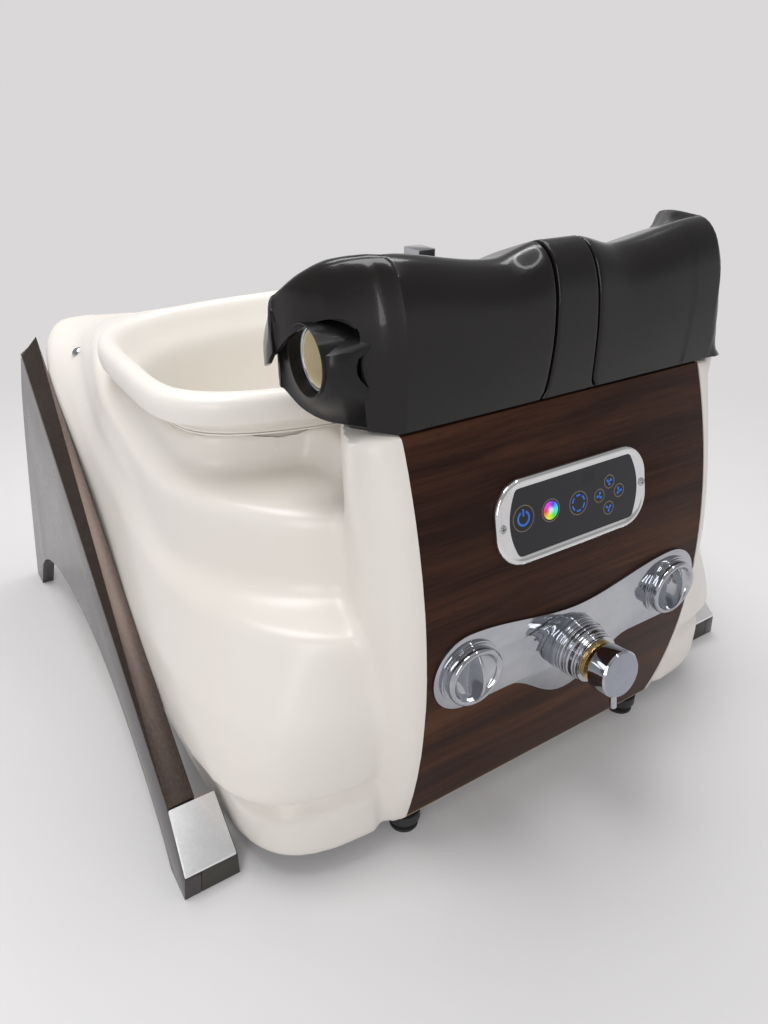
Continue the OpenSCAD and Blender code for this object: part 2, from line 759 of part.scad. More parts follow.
module footrest_plate() {
    color("gray") difference() {
        translate([0, 0, front_top_z]) linear_extrude(plate_t) polygon(concat(
            [for (p = plate_half) [p[0], rest_front_y + p[1]]],
            [for (p = spout_tongue) [spout_x + p[0], rest_back_y + p[1]]],
            [for (i = [len(plate_half) - 1:-1:0]) [-plate_half[i][0], rest_front_y + plate_half[i][1]]]));
        translate([spout_x, spout_y, front_top_z - 1]) cylinder(r = 6 + slip, h = 10);
    }
}

module socket_place() {
    translate([-sprayer_x, socket_y, socket_z]) rotate([0, -90, 0]) children();
}

module sprayer_pocket() {
    color("black") difference() {
        union() {
            intersection() {
                difference() {
                    rest_form(rest_t + 3);
                    translate([6, 0, -3]) rest_form(rest_t + 6);
                }
                along_x(-rest_half_w, 64) pocket_outline();
            }
            socket_place() translate([0, 0, -28]) cylinder(r = ring_r + 0.5, h = 28);
        }
        socket_place() cylinder(r = socket_r + 2 + slip, h = 200, center = true);
        socket_place() cylinder(r = ring_r + 0.5, h = 100);
    }
}

module sprayer_ring() {
    color("gold") socket_place() difference() {
        cylinder(r = ring_r, h = 4);
        translate([0, 0, -1]) cylinder(r = socket_r + 2 + slip, h = 10);
        translate([0, 0, 3]) cylinder(r1 = socket_r + 2 + slip, r2 = socket_r + 4, h = 1.1);
    }
}

module sprayer_sleeve() {
    color("linen") socket_place() difference() {
        translate([0, 0, -socket_depth - 3]) cylinder(r = socket_r + 2, h = socket_depth + 6);
        translate([0, 0, -socket_depth]) cylinder(r = socket_r, h = 100);
    }
}

module spout_base() {
    color("silver") translate([spout_x, spout_y, rest_low_z]) difference() {
        cylinder(r = 14, h = 8);
        translate([0, 0, -1]) cylinder(r = 6 + slip, h = 20);
    }
}

module spout() {
    color("silver") translate([spout_x, spout_y, 0]) difference() {
        union() {
            translate([0, 0, front_top_z - 8]) cylinder(r = 6, h = 60);
            translate([0, 0, rest_low_z + 8]) cylinder(r = 9, h = spout_top_z - 14 - rest_low_z - 8 + tiny);
            hull() for (x = [-6, 6]) for (y = [-6, 14]) translate([x, y, spout_top_z - 14])
                cylinder(r = 4, h = 14);
        }
        translate([0, 0, front_top_z - 10]) cylinder(r = 4, h = spout_top_z - 6 - front_top_z);
        translate([-7, -3, spout_top_z - 11]) cube([14, 60, 8]);
    }
}

// ---------- Keypad ----------

module rounded(w, h, r) {
    square([w - 2 * r, h], center = true);
    square([w, h - 2 * r], center = true);
    for (sx = [-1, 1]) for (sy = [-1, 1]) translate([sx * (w / 2 - r), sy * (h / 2 - r)]) circle(r);
}

module on_keypad() {
    on_panel(keypad_x, keypad_z) children();
}

module keypad_bezel() {
    color("silver") difference() {
        on_keypad() translate([0, 0, -3]) {
            linear_extrude(bezel_t + 1) rounded(bezel_w, bezel_h, bezel_r);
            linear_extrude(bezel_t + 3) rounded(bezel_w - 5, bezel_h - 5, bezel_r - 2.5);
        }
        panel_cylinder(panel_r, big);
        on_keypad() translate([glass_dx, 0, -10]) linear_extrude(40) rounded(glass_w, glass_h, glass_r);
        for (s = [-1, 1]) on_keypad() translate([s * screw_x, 0, -10]) {
            cylinder(r = 2 + slip, h = 40);
            translate([0, 0, 10 + bezel_t - 2]) cylinder(r = 5, h = 10);
        }
    }
}

module keypad_glass() {
    color("darkslateblue") difference() {
        on_keypad() translate([glass_dx, 0, -3]) {
            linear_extrude(bezel_t + 1) rounded(glass_w - seat, glass_h - seat, glass_r - seat / 2);
        }
        panel_cylinder(panel_r, big);
    }
}

module bezel_screws() {
    color("silver") for (s = [-1, 1]) on_keypad() translate([s * screw_x, 0, 0]) difference() {
        union() {
            translate([0, 0, -10]) cylinder(r = 2, h = 10 + bezel_t - 1);
            translate([0, 0, bezel_t - 2]) cylinder(r = 4, h = 1.6);
            translate([0, 0, bezel_t - 0.4]) cylinder(r1 = 4, r2 = 2.6, h = 1);
        }
        for (a = [0, 90]) rotate(a) translate([-2.2, -0.5, bezel_t - 0.8]) cube([4.4, 1, 5]);
    }
}

module control_module() {
    color("darkgreen") difference() {
        on_keypad() translate([-60, -18, -38]) cube([120, 36, 50]);
        valve_skin();
    }
}

// ---------- Mixer and diverters ----------

module plate_outline() {
    xs = [for (x = [-knob_x:8:knob_x]) x];
    polygon(concat(
        [for (x = xs) [x, lerp(knob_z + 22, knob_z + plate_r, ease(abs(x) / knob_x))]],
        [for (a = [80:-8:-80]) [knob_x + plate_r * cos(a), knob_z + plate_r * sin(a)]],
        [for (i = [len(xs) - 1:-1:0]) [xs[i], knob_z - plate_r - 41 * hump(min(1, abs(xs[i]) / 78))]],
        [for (a = [260:-8:100]) [-knob_x + plate_r * cos(a), knob_z + plate_r * sin(a)]]));
}

module valve_plate() {
    color("silver") difference() {
        intersection() {
            panel_band(panel_r + plate_thick, panel_r, 100, 300, 2 * panel_w);
            translate([0, 0, 0]) rotate([90, 0, 0]) linear_extrude(big / 2) plate_outline();
        }
        for (s = [-1, 1]) on_plate(s * knob_x, knob_z) cylinder(r = 10, h = 60, center = true);
        on_plate(0, mixer_z) cylinder(r = 18, h = 60, center = true);
    }
}

module diverter_collar() {
    color("silver") difference() {
        on_plate(-knob_x, knob_z) translate([0, 0, -4]) {
            cylinder(r = knob_r + 3.5, h = 6.5);
            cylinder(r = knob_r + 2, h = 8);
        }
        panel_cylinder(panel_r + plate_thick, big);
        on_plate(-knob_x, knob_z) cylinder(r = stem_r + slip, h = 60, center = true);
    }
}

module diverter_collar_left() { diverter_collar(); }
module diverter_collar_right() { mirror([1, 0, 0]) diverter_collar(); }

module diverter_knob() {
    color("silver") on_plate(-knob_x, knob_z) {
        translate([0, 0, -36]) cylinder(r = stem_r, h = 44);
        difference() {
            union() {
                translate([0, 0, 4.3]) cylinder(r = knob_r, h = 8.5);
                translate([0, 0, 12.8]) cylinder(r1 = knob_r, r2 = knob_r - 2, h = 2);
            }
            translate([0, 0, 8.5]) cylinder(r1 = knob_r - 7, r2 = knob_r - 3, h = 10);
        }
        intersection() {
            cylinder(r = knob_r - 1, h = 60);
            translate([-4.5, 0, 0]) rotate([90, 0, 90]) linear_extrude(9) intersection() {
                translate([0, -13]) circle(38, $fn = 90);
                translate([-40, 7.5]) square([80, 40]);
            }
        }
    }
}

module diverter_knob_left() { diverter_knob(); }
module diverter_knob_right() { mirror([1, 0, 0]) diverter_knob(); }

// The bodies hang behind the panel, one on each side of the mixer
module diverter_body() {
    color("goldenrod") difference() {
        union() {
            translate([-knob_x - 20, body_front_y, knob_z - 20]) cube([40, body_depth, 40]);
            on_plate(-knob_x, knob_z) translate([0, 0, body_front_y_in])
                cylinder(r = 15.5, h = -body_front_y_in - 0.5);
        }
        on_plate(-knob_x, knob_z) translate([0, 0, -40]) cylinder(r = stem_r + slip, h = 60);
        valve_skin();
    }
}

// Everything from the plate's back forwards
module valve_skin() {
    difference() {
        translate([-big / 2, panel_y - 60, -1]) cube([big, 100, 500]);
        panel_cylinder(panel_r, big);
    }
}

module diverter_body_left() { diverter_body(); }
module diverter_body_right() { mirror([1, 0, 0]) diverter_body(); }

module mixer_flange() {
    color("silver") difference() {
        on_plate(0, mixer_z) translate([0, 0, -4]) {
            cylinder(r = mixer_r + 2, h = 7.5);
            cylinder(r = mixer_r + 1, h = 9);
        }
        panel_cylinder(panel_r + plate_thick, big);
        on_plate(0, mixer_z) cylinder(r = mixer_stem_r + 4, h = 60, center = true);
    }
}

sleeve_rings = [[5, 1], [11, 1], [12, 0], [18.5, 0], [19.5, -1.5], [23.5, -2], [24.3, -3], [sleeve_h, -3.5]];
sleeve_grooves = [[8, 1], [15.5, 0], [27, -3.2]];

module mixer_sleeve() {
    color("silver") on_plate(0, mixer_z) difference() {
        rotate_extrude($fn = 72) polygon(concat([[mixer_stem_r + slip, 5]],
            [for (p = sleeve_rings) [mixer_r + p[1], p[0]]], [[mixer_stem_r + slip, sleeve_h]]));
        for (g = sleeve_grooves) translate([0, 0, g[0]]) rotate_extrude($fn = 72)
            translate([mixer_r + g[1], 0]) circle(0.9, $fn = 16);
    }
}

module mixer_swivel() {
    color("goldenrod") on_plate(0, mixer_z) {
        translate([0, 0, -34]) cylinder(r = mixer_stem_r, h = sleeve_h + 36);
        translate([0, 0, sleeve_h + 0.1]) cylinder(r = 20.5, h = 3.4);
        translate([0, 0, sleeve_h + 1]) cylinder(r = 6, h = 7);
        translate([0, 0, ball_at]) sphere(r = ball_r, $fn = 72);
    }
}

module on_ball() {
    on_plate(0, mixer_z) translate([0, 0, ball_at]) rotate([-cap_tilt, 0, 0]) translate([0, 0, -ball_at])
        children();
}

module mixer_cap() {
    color("silver") on_ball() difference() {
        union() {
            translate([0, 0, ball_at - 3]) cylinder(r = cap_r, h = 18);
            translate([0, 0, ball_at + 15]) cylinder(r1 = cap_r, r2 = cap_r - 1.5, h = 2);
            translate([0, 0, ball_at - 4.5]) cylinder(r1 = cap_r - 2, r2 = cap_r, h = 1.5);
        }
        translate([0, 0, ball_at]) sphere(r = ball_r + 0.1, $fn = 72);
        translate([0, 0, ball_at - 8]) cylinder(r = ball_r - 1, h = 5);
        translate([0, 0, lever_at]) rotate([90, 0, 0]) translate([0, 0, ball_r + 1])
            cylinder(r = 3.25 + slip, h = 60);
    }
}

module mixer_lever() {
    color("silver") on_ball() translate([0, 0, lever_at]) rotate([90, 0, 0]) {
        translate([0, 0, ball_r + 1]) cylinder(r = 3.25, h = cap_r + 15 - ball_r);
        translate([0, 0, cap_r + 16]) cylinder(r1 = 3.25, r2 = 2.4, h = 1);
    }
}

module mixer_body() {
    color("goldenrod") difference() {
        union() {
            translate([-26, body_front_y, mixer_z - 26]) cube([52, body_depth, 52]);
            on_plate(0, mixer_z) translate([0, 0, body_front_y_in])
                cylinder(r = 17.5, h = -body_front_y_in - 0.5);
        }
        on_plate(0, mixer_z) translate([0, 0, -36]) cylinder(r = mixer_stem_r + slip, h = 60);
        valve_skin();
    }
}

module cross_pipes() {
    color("peru") mirrored() translate([-knob_x + 20, pipe_y, knob_z - 11]) rotate([0, 90, 0])
        cylinder(r = pipe_r, h = knob_x - 46);
}

module supply_pipe(x) {
    translate([x, pipe_y, supply_z]) difference() {
        union() {
            cylinder(r = pipe_r, h = mixer_z - 26 - supply_z);
            cylinder(r = pipe_r + 1, h = 16);
            translate([0, 0, 16]) cylinder(r = 11.5, h = 9, $fn = 6);
        }
        translate([0, 0, -1]) cylinder(r = pipe_r - 1.5, h = 400);
    }
}

module hot_pipe() { color("peru") supply_pipe(-14); }
module cold_pipe() { color("peru") supply_pipe(14); }

// ---------- Jet and lamp ----------

function wet_in(z) = lerp(heel_in + tub_t, waist_in + tub_t, (z - heel_z - 2) / (waist_z - heel_z - 2));
wall_tilt = atan((heel_in - waist_in) / (waist_z - heel_z - 2));

// Places a piece on the wet side of the tub's back wall, +Z into the tub
module on_back_wall(x) {
    depth = rim_back - wet_in(jet_z);
    q = pow(abs(x) / (rim_half_w - wet_in(jet_z)), 3.2);
    slope = x == 0 ? 0 : atan(depth * pow(1 - q, 1 / 3.2 - 1) * q / x);
    translate([x, tub_y + depth * pow(1 - q, 1 / 3.2), jet_z])
        rotate([0, 0, -slope]) rotate([90 - wall_tilt, 0, 0]) children();
}

module jet_ring() {
    color("silver") on_back_wall(jet_x) difference() {
        union() {
            translate([0, 0, seat]) cylinder(r = 40, h = 2);
            translate([0, 0, 2]) cylinder(r1 = 40, r2 = 37, h = 1.5);
            translate([0, 0, -22]) cylinder(r = jet_r - seat, h = 24);
        }
        translate([0, 0, -30]) cylinder(r = jet_r - 4, h = 60);
    }
}

module jet_cover() {
    color("gainsboro") on_back_wall(jet_x) difference() {
        union() {
            translate([0, 0, 2]) cylinder(r = jet_r - 4 - slip, h = 3);
            translate([0, 0, 3.7]) cylinder(r1 = 36, r2 = 30, h = 5);
        }
        translate([0, 0, 1]) cylinder(r = jet_r - 7, h = 5);
        for (a = [0:30:330]) rotate(a) translate([11, -1.8, 0]) cube([15, 3.6, 20]);
        for (a = [0:60:300]) rotate(a + 15) translate([5.5, 0, 0]) cylinder(r = 1.6, h = 20);
    }
}

module jet_impeller() {
    color("steelblue") on_back_wall(jet_x) translate([0, 0, -12]) {
        cylinder(r = 8, h = 9);
        cylinder(r = 22, h = 2);
        for (a = [0:60:300]) rotate(a) translate([4, -1, 0]) cube([17, 2, 8]);
        translate([0, 0, -16]) cylinder(r = 3, h = 18);
    }
}

module jet_motor() {
    color("dimgray") on_back_wall(jet_x) difference() {
        union() {
            translate([0, 0, -64]) cylinder(r = 34, h = 64 - 22 - seat);
            translate([0, 0, -12]) cylinder(r = 44, h = 12 - tub_t - 0.6);
            translate([0, 0, -24]) cylinder(r = 38, h = 15);
        }
        translate([0, 0, -22 - seat]) cylinder(r = jet_r - seat + 0.1, h = 40);
        translate([0, 0, -32]) cylinder(r = 3 + slip, h = 40);
    }
}

module lamp_ring() {
    color("silver") on_back_wall(lamp_x) difference() {
        union() {
            translate([0, 0, 0.6]) cylinder(r1 = 20, r2 = 17, h = 3);
            translate([0, 0, -18]) cylinder(r = lamp_r - seat, h = 20);
        }
        translate([0, 0, -14]) cylinder(r = lamp_r - 3, h = 40);
    }
}

module lamp_lens() {
    color("lightblue") on_back_wall(lamp_x) translate([0, 0, -14]) cylinder(r = lamp_r - 3 - slip, h = 16);
}

outer_shell();
basin_bowl();
bowl_gasket();
front_panel();
panel_cleats();
side_panel_left();
side_panel_right();
trim_strip_left();
trim_strip_right();
toe_block_left();
toe_block_right();
toe_cap_left();
toe_cap_right();
arm_bolts();
front_crossbar();
rear_crossbar();
frame_rail_left();
frame_rail_right();
levelling_feet();
jam_nuts();
deck_caps();
footrest_pad_left();
footrest_pad_right();
footrest_spine();
footrest_plate();
sprayer_pocket();
sprayer_ring();
sprayer_sleeve();
spout_base();
spout();
keypad_bezel();
keypad_glass();
bezel_screws();
control_module();
valve_plate();
diverter_collar_left();
diverter_collar_right();
diverter_knob_left();
diverter_knob_right();
diverter_body_left();
diverter_body_right();
mixer_flange();
mixer_sleeve();
mixer_swivel();
mixer_cap();
mixer_lever();
mixer_body();
cross_pipes();
hot_pipe();
cold_pipe();
drain_flange();
drain_stopper();
drain_tailpiece();
jet_ring();
jet_cover();
jet_impeller();
jet_motor();
lamp_ring();
lamp_lens();
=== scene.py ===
import json
from math import asin, atan, atan2, cos, degrees, hypot, pi, radians, sin, sqrt

import bmesh
import bpy
import numpy as np
from mathutils import Matrix, Vector


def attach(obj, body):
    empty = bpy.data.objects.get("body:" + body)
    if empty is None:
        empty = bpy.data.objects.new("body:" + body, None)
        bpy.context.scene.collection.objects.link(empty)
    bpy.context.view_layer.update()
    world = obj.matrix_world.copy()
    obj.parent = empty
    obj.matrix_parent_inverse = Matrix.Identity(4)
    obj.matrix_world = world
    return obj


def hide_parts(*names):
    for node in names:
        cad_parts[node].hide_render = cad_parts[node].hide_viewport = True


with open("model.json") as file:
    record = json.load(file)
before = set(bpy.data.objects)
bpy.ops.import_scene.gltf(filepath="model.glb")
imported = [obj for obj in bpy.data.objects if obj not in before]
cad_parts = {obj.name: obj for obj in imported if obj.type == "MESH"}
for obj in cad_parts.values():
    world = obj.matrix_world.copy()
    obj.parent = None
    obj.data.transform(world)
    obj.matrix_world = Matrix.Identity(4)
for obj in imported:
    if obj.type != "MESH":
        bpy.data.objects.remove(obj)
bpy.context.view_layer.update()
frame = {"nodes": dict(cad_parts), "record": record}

nodes = frame["nodes"]
bodyOf = {n: b for b, ns in frame["record"]["behaviour"]["bodies"].items() for n in ns}
mm = 0.001
print("frame loaded:", len(nodes), "nodes")


# small helpers

def lerp(a, b, t):
    return a + (b - a) * t


def unit(t):
    return min(1.0, max(0.0, t))


def ease(t):
    c = unit(t)
    return c * c * (3 - 2 * c)


def softMax(a, b, k):
    h = unit(0.5 + (a - b) / (2 * k))
    return lerp(b, a, h) + k * h * (1 - h)


def softMin(a, b, k):
    return -softMax(-a, -b, k)


def pick(piece):
    if bpy.context.object and bpy.context.object.mode != "OBJECT":
        bpy.ops.object.mode_set(mode="OBJECT")
    bpy.ops.object.select_all(action="DESELECT")
    piece.select_set(True)
    bpy.context.view_layer.objects.active = piece


def addObject(name, data):
    piece = bpy.data.objects.new(name, data)
    bpy.context.scene.collection.objects.link(piece)
    return piece


def settle(piece):
    # the place goes into the mesh, so the object sits at the origin
    pick(piece)
    bpy.ops.object.transform_apply(location=True, rotation=True, scale=True)


def tidyMesh(piece, recalc=False, flatten=False):
    pick(piece)
    bpy.ops.object.mode_set(mode="EDIT")
    bpy.ops.mesh.select_all(action="SELECT")
    bpy.ops.mesh.remove_doubles(threshold=0.00002)
    if recalc:
        bpy.ops.mesh.normals_make_consistent(inside=False)
    if flatten:
        bpy.ops.mesh.dissolve_limited(angle_limit=radians(0.2))
    bpy.ops.object.mode_set(mode="OBJECT")


def editMesh(piece, change):
    bm = bmesh.new()
    bm.from_mesh(piece.data)
    change(bm)
    bm.to_mesh(piece.data)
    bm.free()


def loft(name, rings, closed=True, capped=False):
    # a grid is added and its rows are laid on the rings, given in millimetres
    rows, cols = len(rings), len(rings[0])
    bpy.ops.mesh.primitive_grid_add(x_subdivisions=cols - (0 if closed else 1), y_subdivisions=rows - 1, size=1)
    piece = bpy.context.object
    piece.name = piece.data.name = name
    points = [p for ring in rings for p in (list(ring) + ([ring[0]] if closed else []))]
    piece.data.vertices.foreach_set("co", (np.array(points, float) * mm).ravel())

    def close(bm):
        if closed:
            bmesh.ops.remove_doubles(bm, verts=bm.verts, dist=0.000001)
        if capped:
            bmesh.ops.holes_fill(bm, edges=[e for e in bm.edges if e.is_boundary], sides=0)
        bmesh.ops.recalc_face_normals(bm, faces=bm.faces)

    editMesh(piece, close)
    return piece


def prism(name, outline, lows, turned=False):
    # an outline carried between two levels: of z, or of x where it is turned
    rings = [[(level, *p) if turned else (*p, level) for p in outline] for level in lows]
    return loft(name, rings, capped=True)


def cylinder(radius, depth, place=(0, 0, 0), turned=(0, 0, 0), sides=64):
    bpy.ops.mesh.primitive_cylinder_add(vertices=sides, radius=radius, depth=depth, location=place, rotation=turned)
    return bpy.context.object


def modify(piece, kind, **values):
    modifier = piece.modifiers.new(kind.lower(), kind)
    for key, value in values.items():
        setattr(modifier, key, value)
    pick(piece)
    bpy.ops.object.modifier_apply(modifier=modifier.name)


def cut(piece, cutter, operation="DIFFERENCE", crossed=False):
    modify(piece, "BOOLEAN", object=cutter, operation=operation, solver="EXACT", use_self=crossed)
    bpy.data.objects.remove(cutter)


def complete(piece, angle, look, body, slot, *replaced):
    # smoothing and finish, then the record's slot, which is not used, the nodes it stands for and its body
    pick(piece)
    bpy.ops.object.shade_smooth_by_angle(angle=radians(angle))
    piece.data.materials.clear()
    piece.data.materials.append(finish[look])
    if replaced:
        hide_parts(*replaced)
    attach(piece, body)
    return piece


# materials

def feed(tree, socket, value):
    if isinstance(value, bpy.types.NodeSocket):
        tree.links.new(value, socket)
    else:
        socket.default_value = value


def feedAll(tree, made, values):
    for key, value in values.items():
        feed(tree, made.inputs[key.replace("_", " ")], value)


def node(tree, kind, *given, **values):
    # settings and inputs by name, or inputs in order; a socket is linked, any other value is set
    made = tree.nodes.new(kind)
    named = {key: value for key, value in values.items() if key.replace("_", " ") in made.inputs}
    for key, value in values.items():
        if key not in named:
            setattr(made, key, value)
    feedAll(tree, made, named)
    for socket, value in zip(made.inputs, given):
        feed(tree, socket, value)
    return made.outputs


def newGroup(name, inputs, outputs):
    group = bpy.data.node_groups.new(name, "ShaderNodeTree")
    group.interface.new_socket(name="Vector", in_out="INPUT", socket_type="NodeSocketVector")
    for label, value in inputs.items():
        group.interface.new_socket(name=label, in_out="INPUT", socket_type="NodeSocketFloat").default_value = value
    for label in outputs:
        group.interface.new_socket(name=label, in_out="OUTPUT", socket_type="NodeSocketFloat")
    return group, node(group, "NodeGroupInput")


def ramp(tree, source, stops):
    made = tree.nodes.new("ShaderNodeValToRGB")
    while len(made.color_ramp.elements) < len(stops):
        made.color_ramp.elements.new(0.5)
    for element, (place, colour) in zip(made.color_ramp.elements, stops):
        element.position = place
        element.color = (*colour, 1)
    feed(tree, made.inputs["Fac"], source)
    return made.outputs["Color"]


def spread(tree, source, low, high, fromLow=0.3, fromHigh=0.7):
    return node(tree, "ShaderNodeMapRange", Value=source, From_Min=fromLow, From_Max=fromHigh,
                To_Min=low, To_Max=high)["Result"]


def madd(tree, a, b, c):
    return node(tree, "ShaderNodeMath", a, b, c, operation="MULTIPLY_ADD")[0]


def mapped(tree, vector, **values):
    return node(tree, "ShaderNodeMapping", Vector=vector, **values)["Vector"]


def noise(tree, vector, **values):
    return node(tree, "ShaderNodeTexNoise", Vector=vector, **values)


def mixColours(tree, share, first, second, **values):
    made = tree.nodes.new("ShaderNodeMix")
    made.data_type = "RGBA"
    for key, value in values.items():
        setattr(made, key, value)
    for place, value in ((0, share), (6, first), (7, second)):  # factor, A and B of a colour mix
        feed(tree, made.inputs[place], value)
    return made.outputs[2]


def makeHandling():
    # smears and cleaning marks: uneven gloss, faint tone and fine scratches
    group, given = newGroup("handling", {"Size": 9.0, "Gloss Low": 0.1, "Gloss High": 0.25, "Scratch": 0.2},
                            ["Roughness", "Tone", "Height"])
    broad = noise(group, given["Vector"], Scale=given["Size"], Detail=5.0, Roughness=0.6)["Fac"]
    turned = mapped(group, given["Vector"], Rotation=(0.5, 0.9, 0.4), Scale=(14, 160, 40))
    lines = noise(group, turned, Scale=2.2, Detail=3.0, Roughness=0.7)["Fac"]
    thin = spread(group, lines, 0.0, 1.0, 0.62, 0.7)
    scratch = node(group, "ShaderNodeMath", thin, given["Scratch"], operation="MULTIPLY")[0]
    gloss = spread(group, broad, given["Gloss Low"], given["Gloss High"])
    node(group, "NodeGroupOutput", Roughness=madd(group, scratch, 0.35, gloss), Tone=broad, Height=scratch)
    return group


def makeBrushing():
    # long parallel lines along the object's Y
    group, given = newGroup("brushing", {"Fineness": 500.0}, ["Lines", "Patches"])
    squeezed = mapped(group, given["Vector"], Scale=(1, 0.012, 1))
    fine = noise(group, squeezed, Scale=given["Fineness"], Detail=2.0, Roughness=0.6)["Fac"]
    broad = noise(group, given["Vector"], Scale=11.0, Detail=4.0)["Fac"]
    node(group, "NodeGroupOutput", Lines=fine, Patches=broad)
    return group


def makeGrain():
    # wood grain that runs along X: broad figure, growth lines and short pores
    group, given = newGroup("grain", {}, ["Figure", "Lines", "Pores"])
    tilt = (0, 0.06, 0)
    along = mapped(group, given["Vector"], Scale=(0.8, 1.0, 11.0), Rotation=tilt)
    warp = noise(group, given["Vector"], Scale=2.6, Detail=2.0)["Color"]
    bend = node(group, "ShaderNodeVectorMath", warp, (0.30, 0.10, 0.55), along, operation="MULTIPLY_ADD")[0]
    figure = noise(group, bend, Scale=2.3, Detail=8.0, Roughness=0.58, Distortion=0.25)["Fac"]
    fibre = mapped(group, given["Vector"], Scale=(9, 60, 260), Rotation=tilt)
    rows = noise(group, fibre, Scale=1.0, Detail=4.0, Roughness=0.7)["Fac"]
    short = mapped(group, given["Vector"], Scale=(90, 700, 1100))
    pores = noise(group, short, Scale=1.0, Detail=2.0, Roughness=0.5)["Fac"]
    node(group, "NodeGroupOutput", Figure=figure, Lines=rows, Pores=spread(group, pores, 0.0, 1.0, 0.58, 0.68))
    return group


def makeSkin():
    # the slight waviness and fine texture of a moulded surface
    group, given = newGroup("mouldedSkin", {"Fine": 320.0}, ["Height", "Tone"])
    fine = noise(group, given["Vector"], Scale=given["Fine"], Detail=2.0)["Fac"]
    wavy = noise(group, given["Vector"], Scale=7.0, Detail=3.0)["Fac"]
    node(group, "NodeGroupOutput", Height=madd(group, wavy, 3.0, fine), Tone=wavy)
    return group


handling, brushing, grain, skin = makeHandling(), makeBrushing(), makeGrain(), makeSkin()


def useGroup(tree, group, vector, **values):
    made = tree.nodes.new("ShaderNodeGroup")
    made.node_tree = group
    feedAll(tree, made, {"Vector": vector, **values})
    return made.outputs


def newMaterial(name, **values):
    material = bpy.data.materials.new(name)
    material.use_nodes = True
    tree = material.node_tree
    shader = tree.nodes["Principled BSDF"]
    feedAll(tree, shader, values)
    return material, tree, shader, node(tree, "ShaderNodeTexCoord")["Object"]


def surface(tree, shader, colour, rough, height, strength, distance):
    bump = node(tree, "ShaderNodeBump", Strength=strength, Distance=distance, Height=height)["Normal"]
    feedAll(tree, shader, {"Base Color": colour, "Roughness": rough, "Normal": bump})


def moulded(name, dark, light, low, high, fine=320.0, bumpSize=0.00006, scratch=0.15, **values):
    material, tree, shader, place = newMaterial(name, **values)
    body = useGroup(tree, skin, place, Fine=fine)
    worn = useGroup(tree, handling, place, Size=8.0, Gloss_Low=low, Gloss_High=high, Scratch=scratch)
    colour = ramp(tree, body["Tone"], [(0.3, dark), (0.7, light)])
    surface(tree, shader, colour, worn["Roughness"], body["Height"], 0.25, bumpSize)
    return material


def polished(name, dark, light, low, high, size=22.0, scratch=0.25):
    material, tree, shader, place = newMaterial(name, Metallic=1.0)
    worn = useGroup(tree, handling, place, Size=size, Gloss_Low=low, Gloss_High=high, Scratch=scratch)
    colour = ramp(tree, worn["Tone"], [(0.32, dark), (0.68, light)])
    surface(tree, shader, colour, worn["Roughness"], worn["Height"], 0.12, 0.00004)
    return material


def brushed(name, dark, light, low, high, metallic=1.0):
    material, tree, shader, place = newMaterial(name, Metallic=metallic)
    lines = useGroup(tree, brushing, place, Fineness=500.0)
    both = madd(tree, lines["Patches"], 0.6, lines["Lines"])
    colour = ramp(tree, both, [(0.55, dark), (1.05, light)])
    surface(tree, shader, colour, spread(tree, lines["Lines"], low, high), lines["Lines"], 0.18, 0.00005)
    return material


plyTone = (0.46, 0.33, 0.21)


def wooden(name, deep, middle, pale, low, high, edgeZ=None, **values):
    material, tree, shader, place = newMaterial(name, **values)
    wood = useGroup(tree, grain, place)
    rows = madd(tree, wood["Lines"], 0.28, wood["Figure"])
    colour = ramp(tree, rows, [(0.50, deep), (0.64, middle), (0.80, pale)])
    dots = spread(tree, wood["Pores"], 0.0, 0.55, 0.0, 1.0)
    painted = mixColours(tree, dots, colour, (0.5, 0.45, 0.42, 1), blend_type="MULTIPLY")
    if edgeZ:
        # raw plies show along the lowest edge
        level = node(tree, "ShaderNodeSeparateXYZ", place)["Z"]
        edge = spread(tree, level, 1.0, 0.0, edgeZ - 0.0002, edgeZ + 0.0002)
        painted = mixColours(tree, edge, painted, (*plyTone, 1))
    surface(tree, shader, painted, spread(tree, wood["Figure"], low, high), wood["Pores"], -0.15, 0.00008)
    return material


def coat(level, weight, rough):
    return {"Specular_IOR_Level": level, "Coat_Weight": weight, "Coat_Roughness": rough}


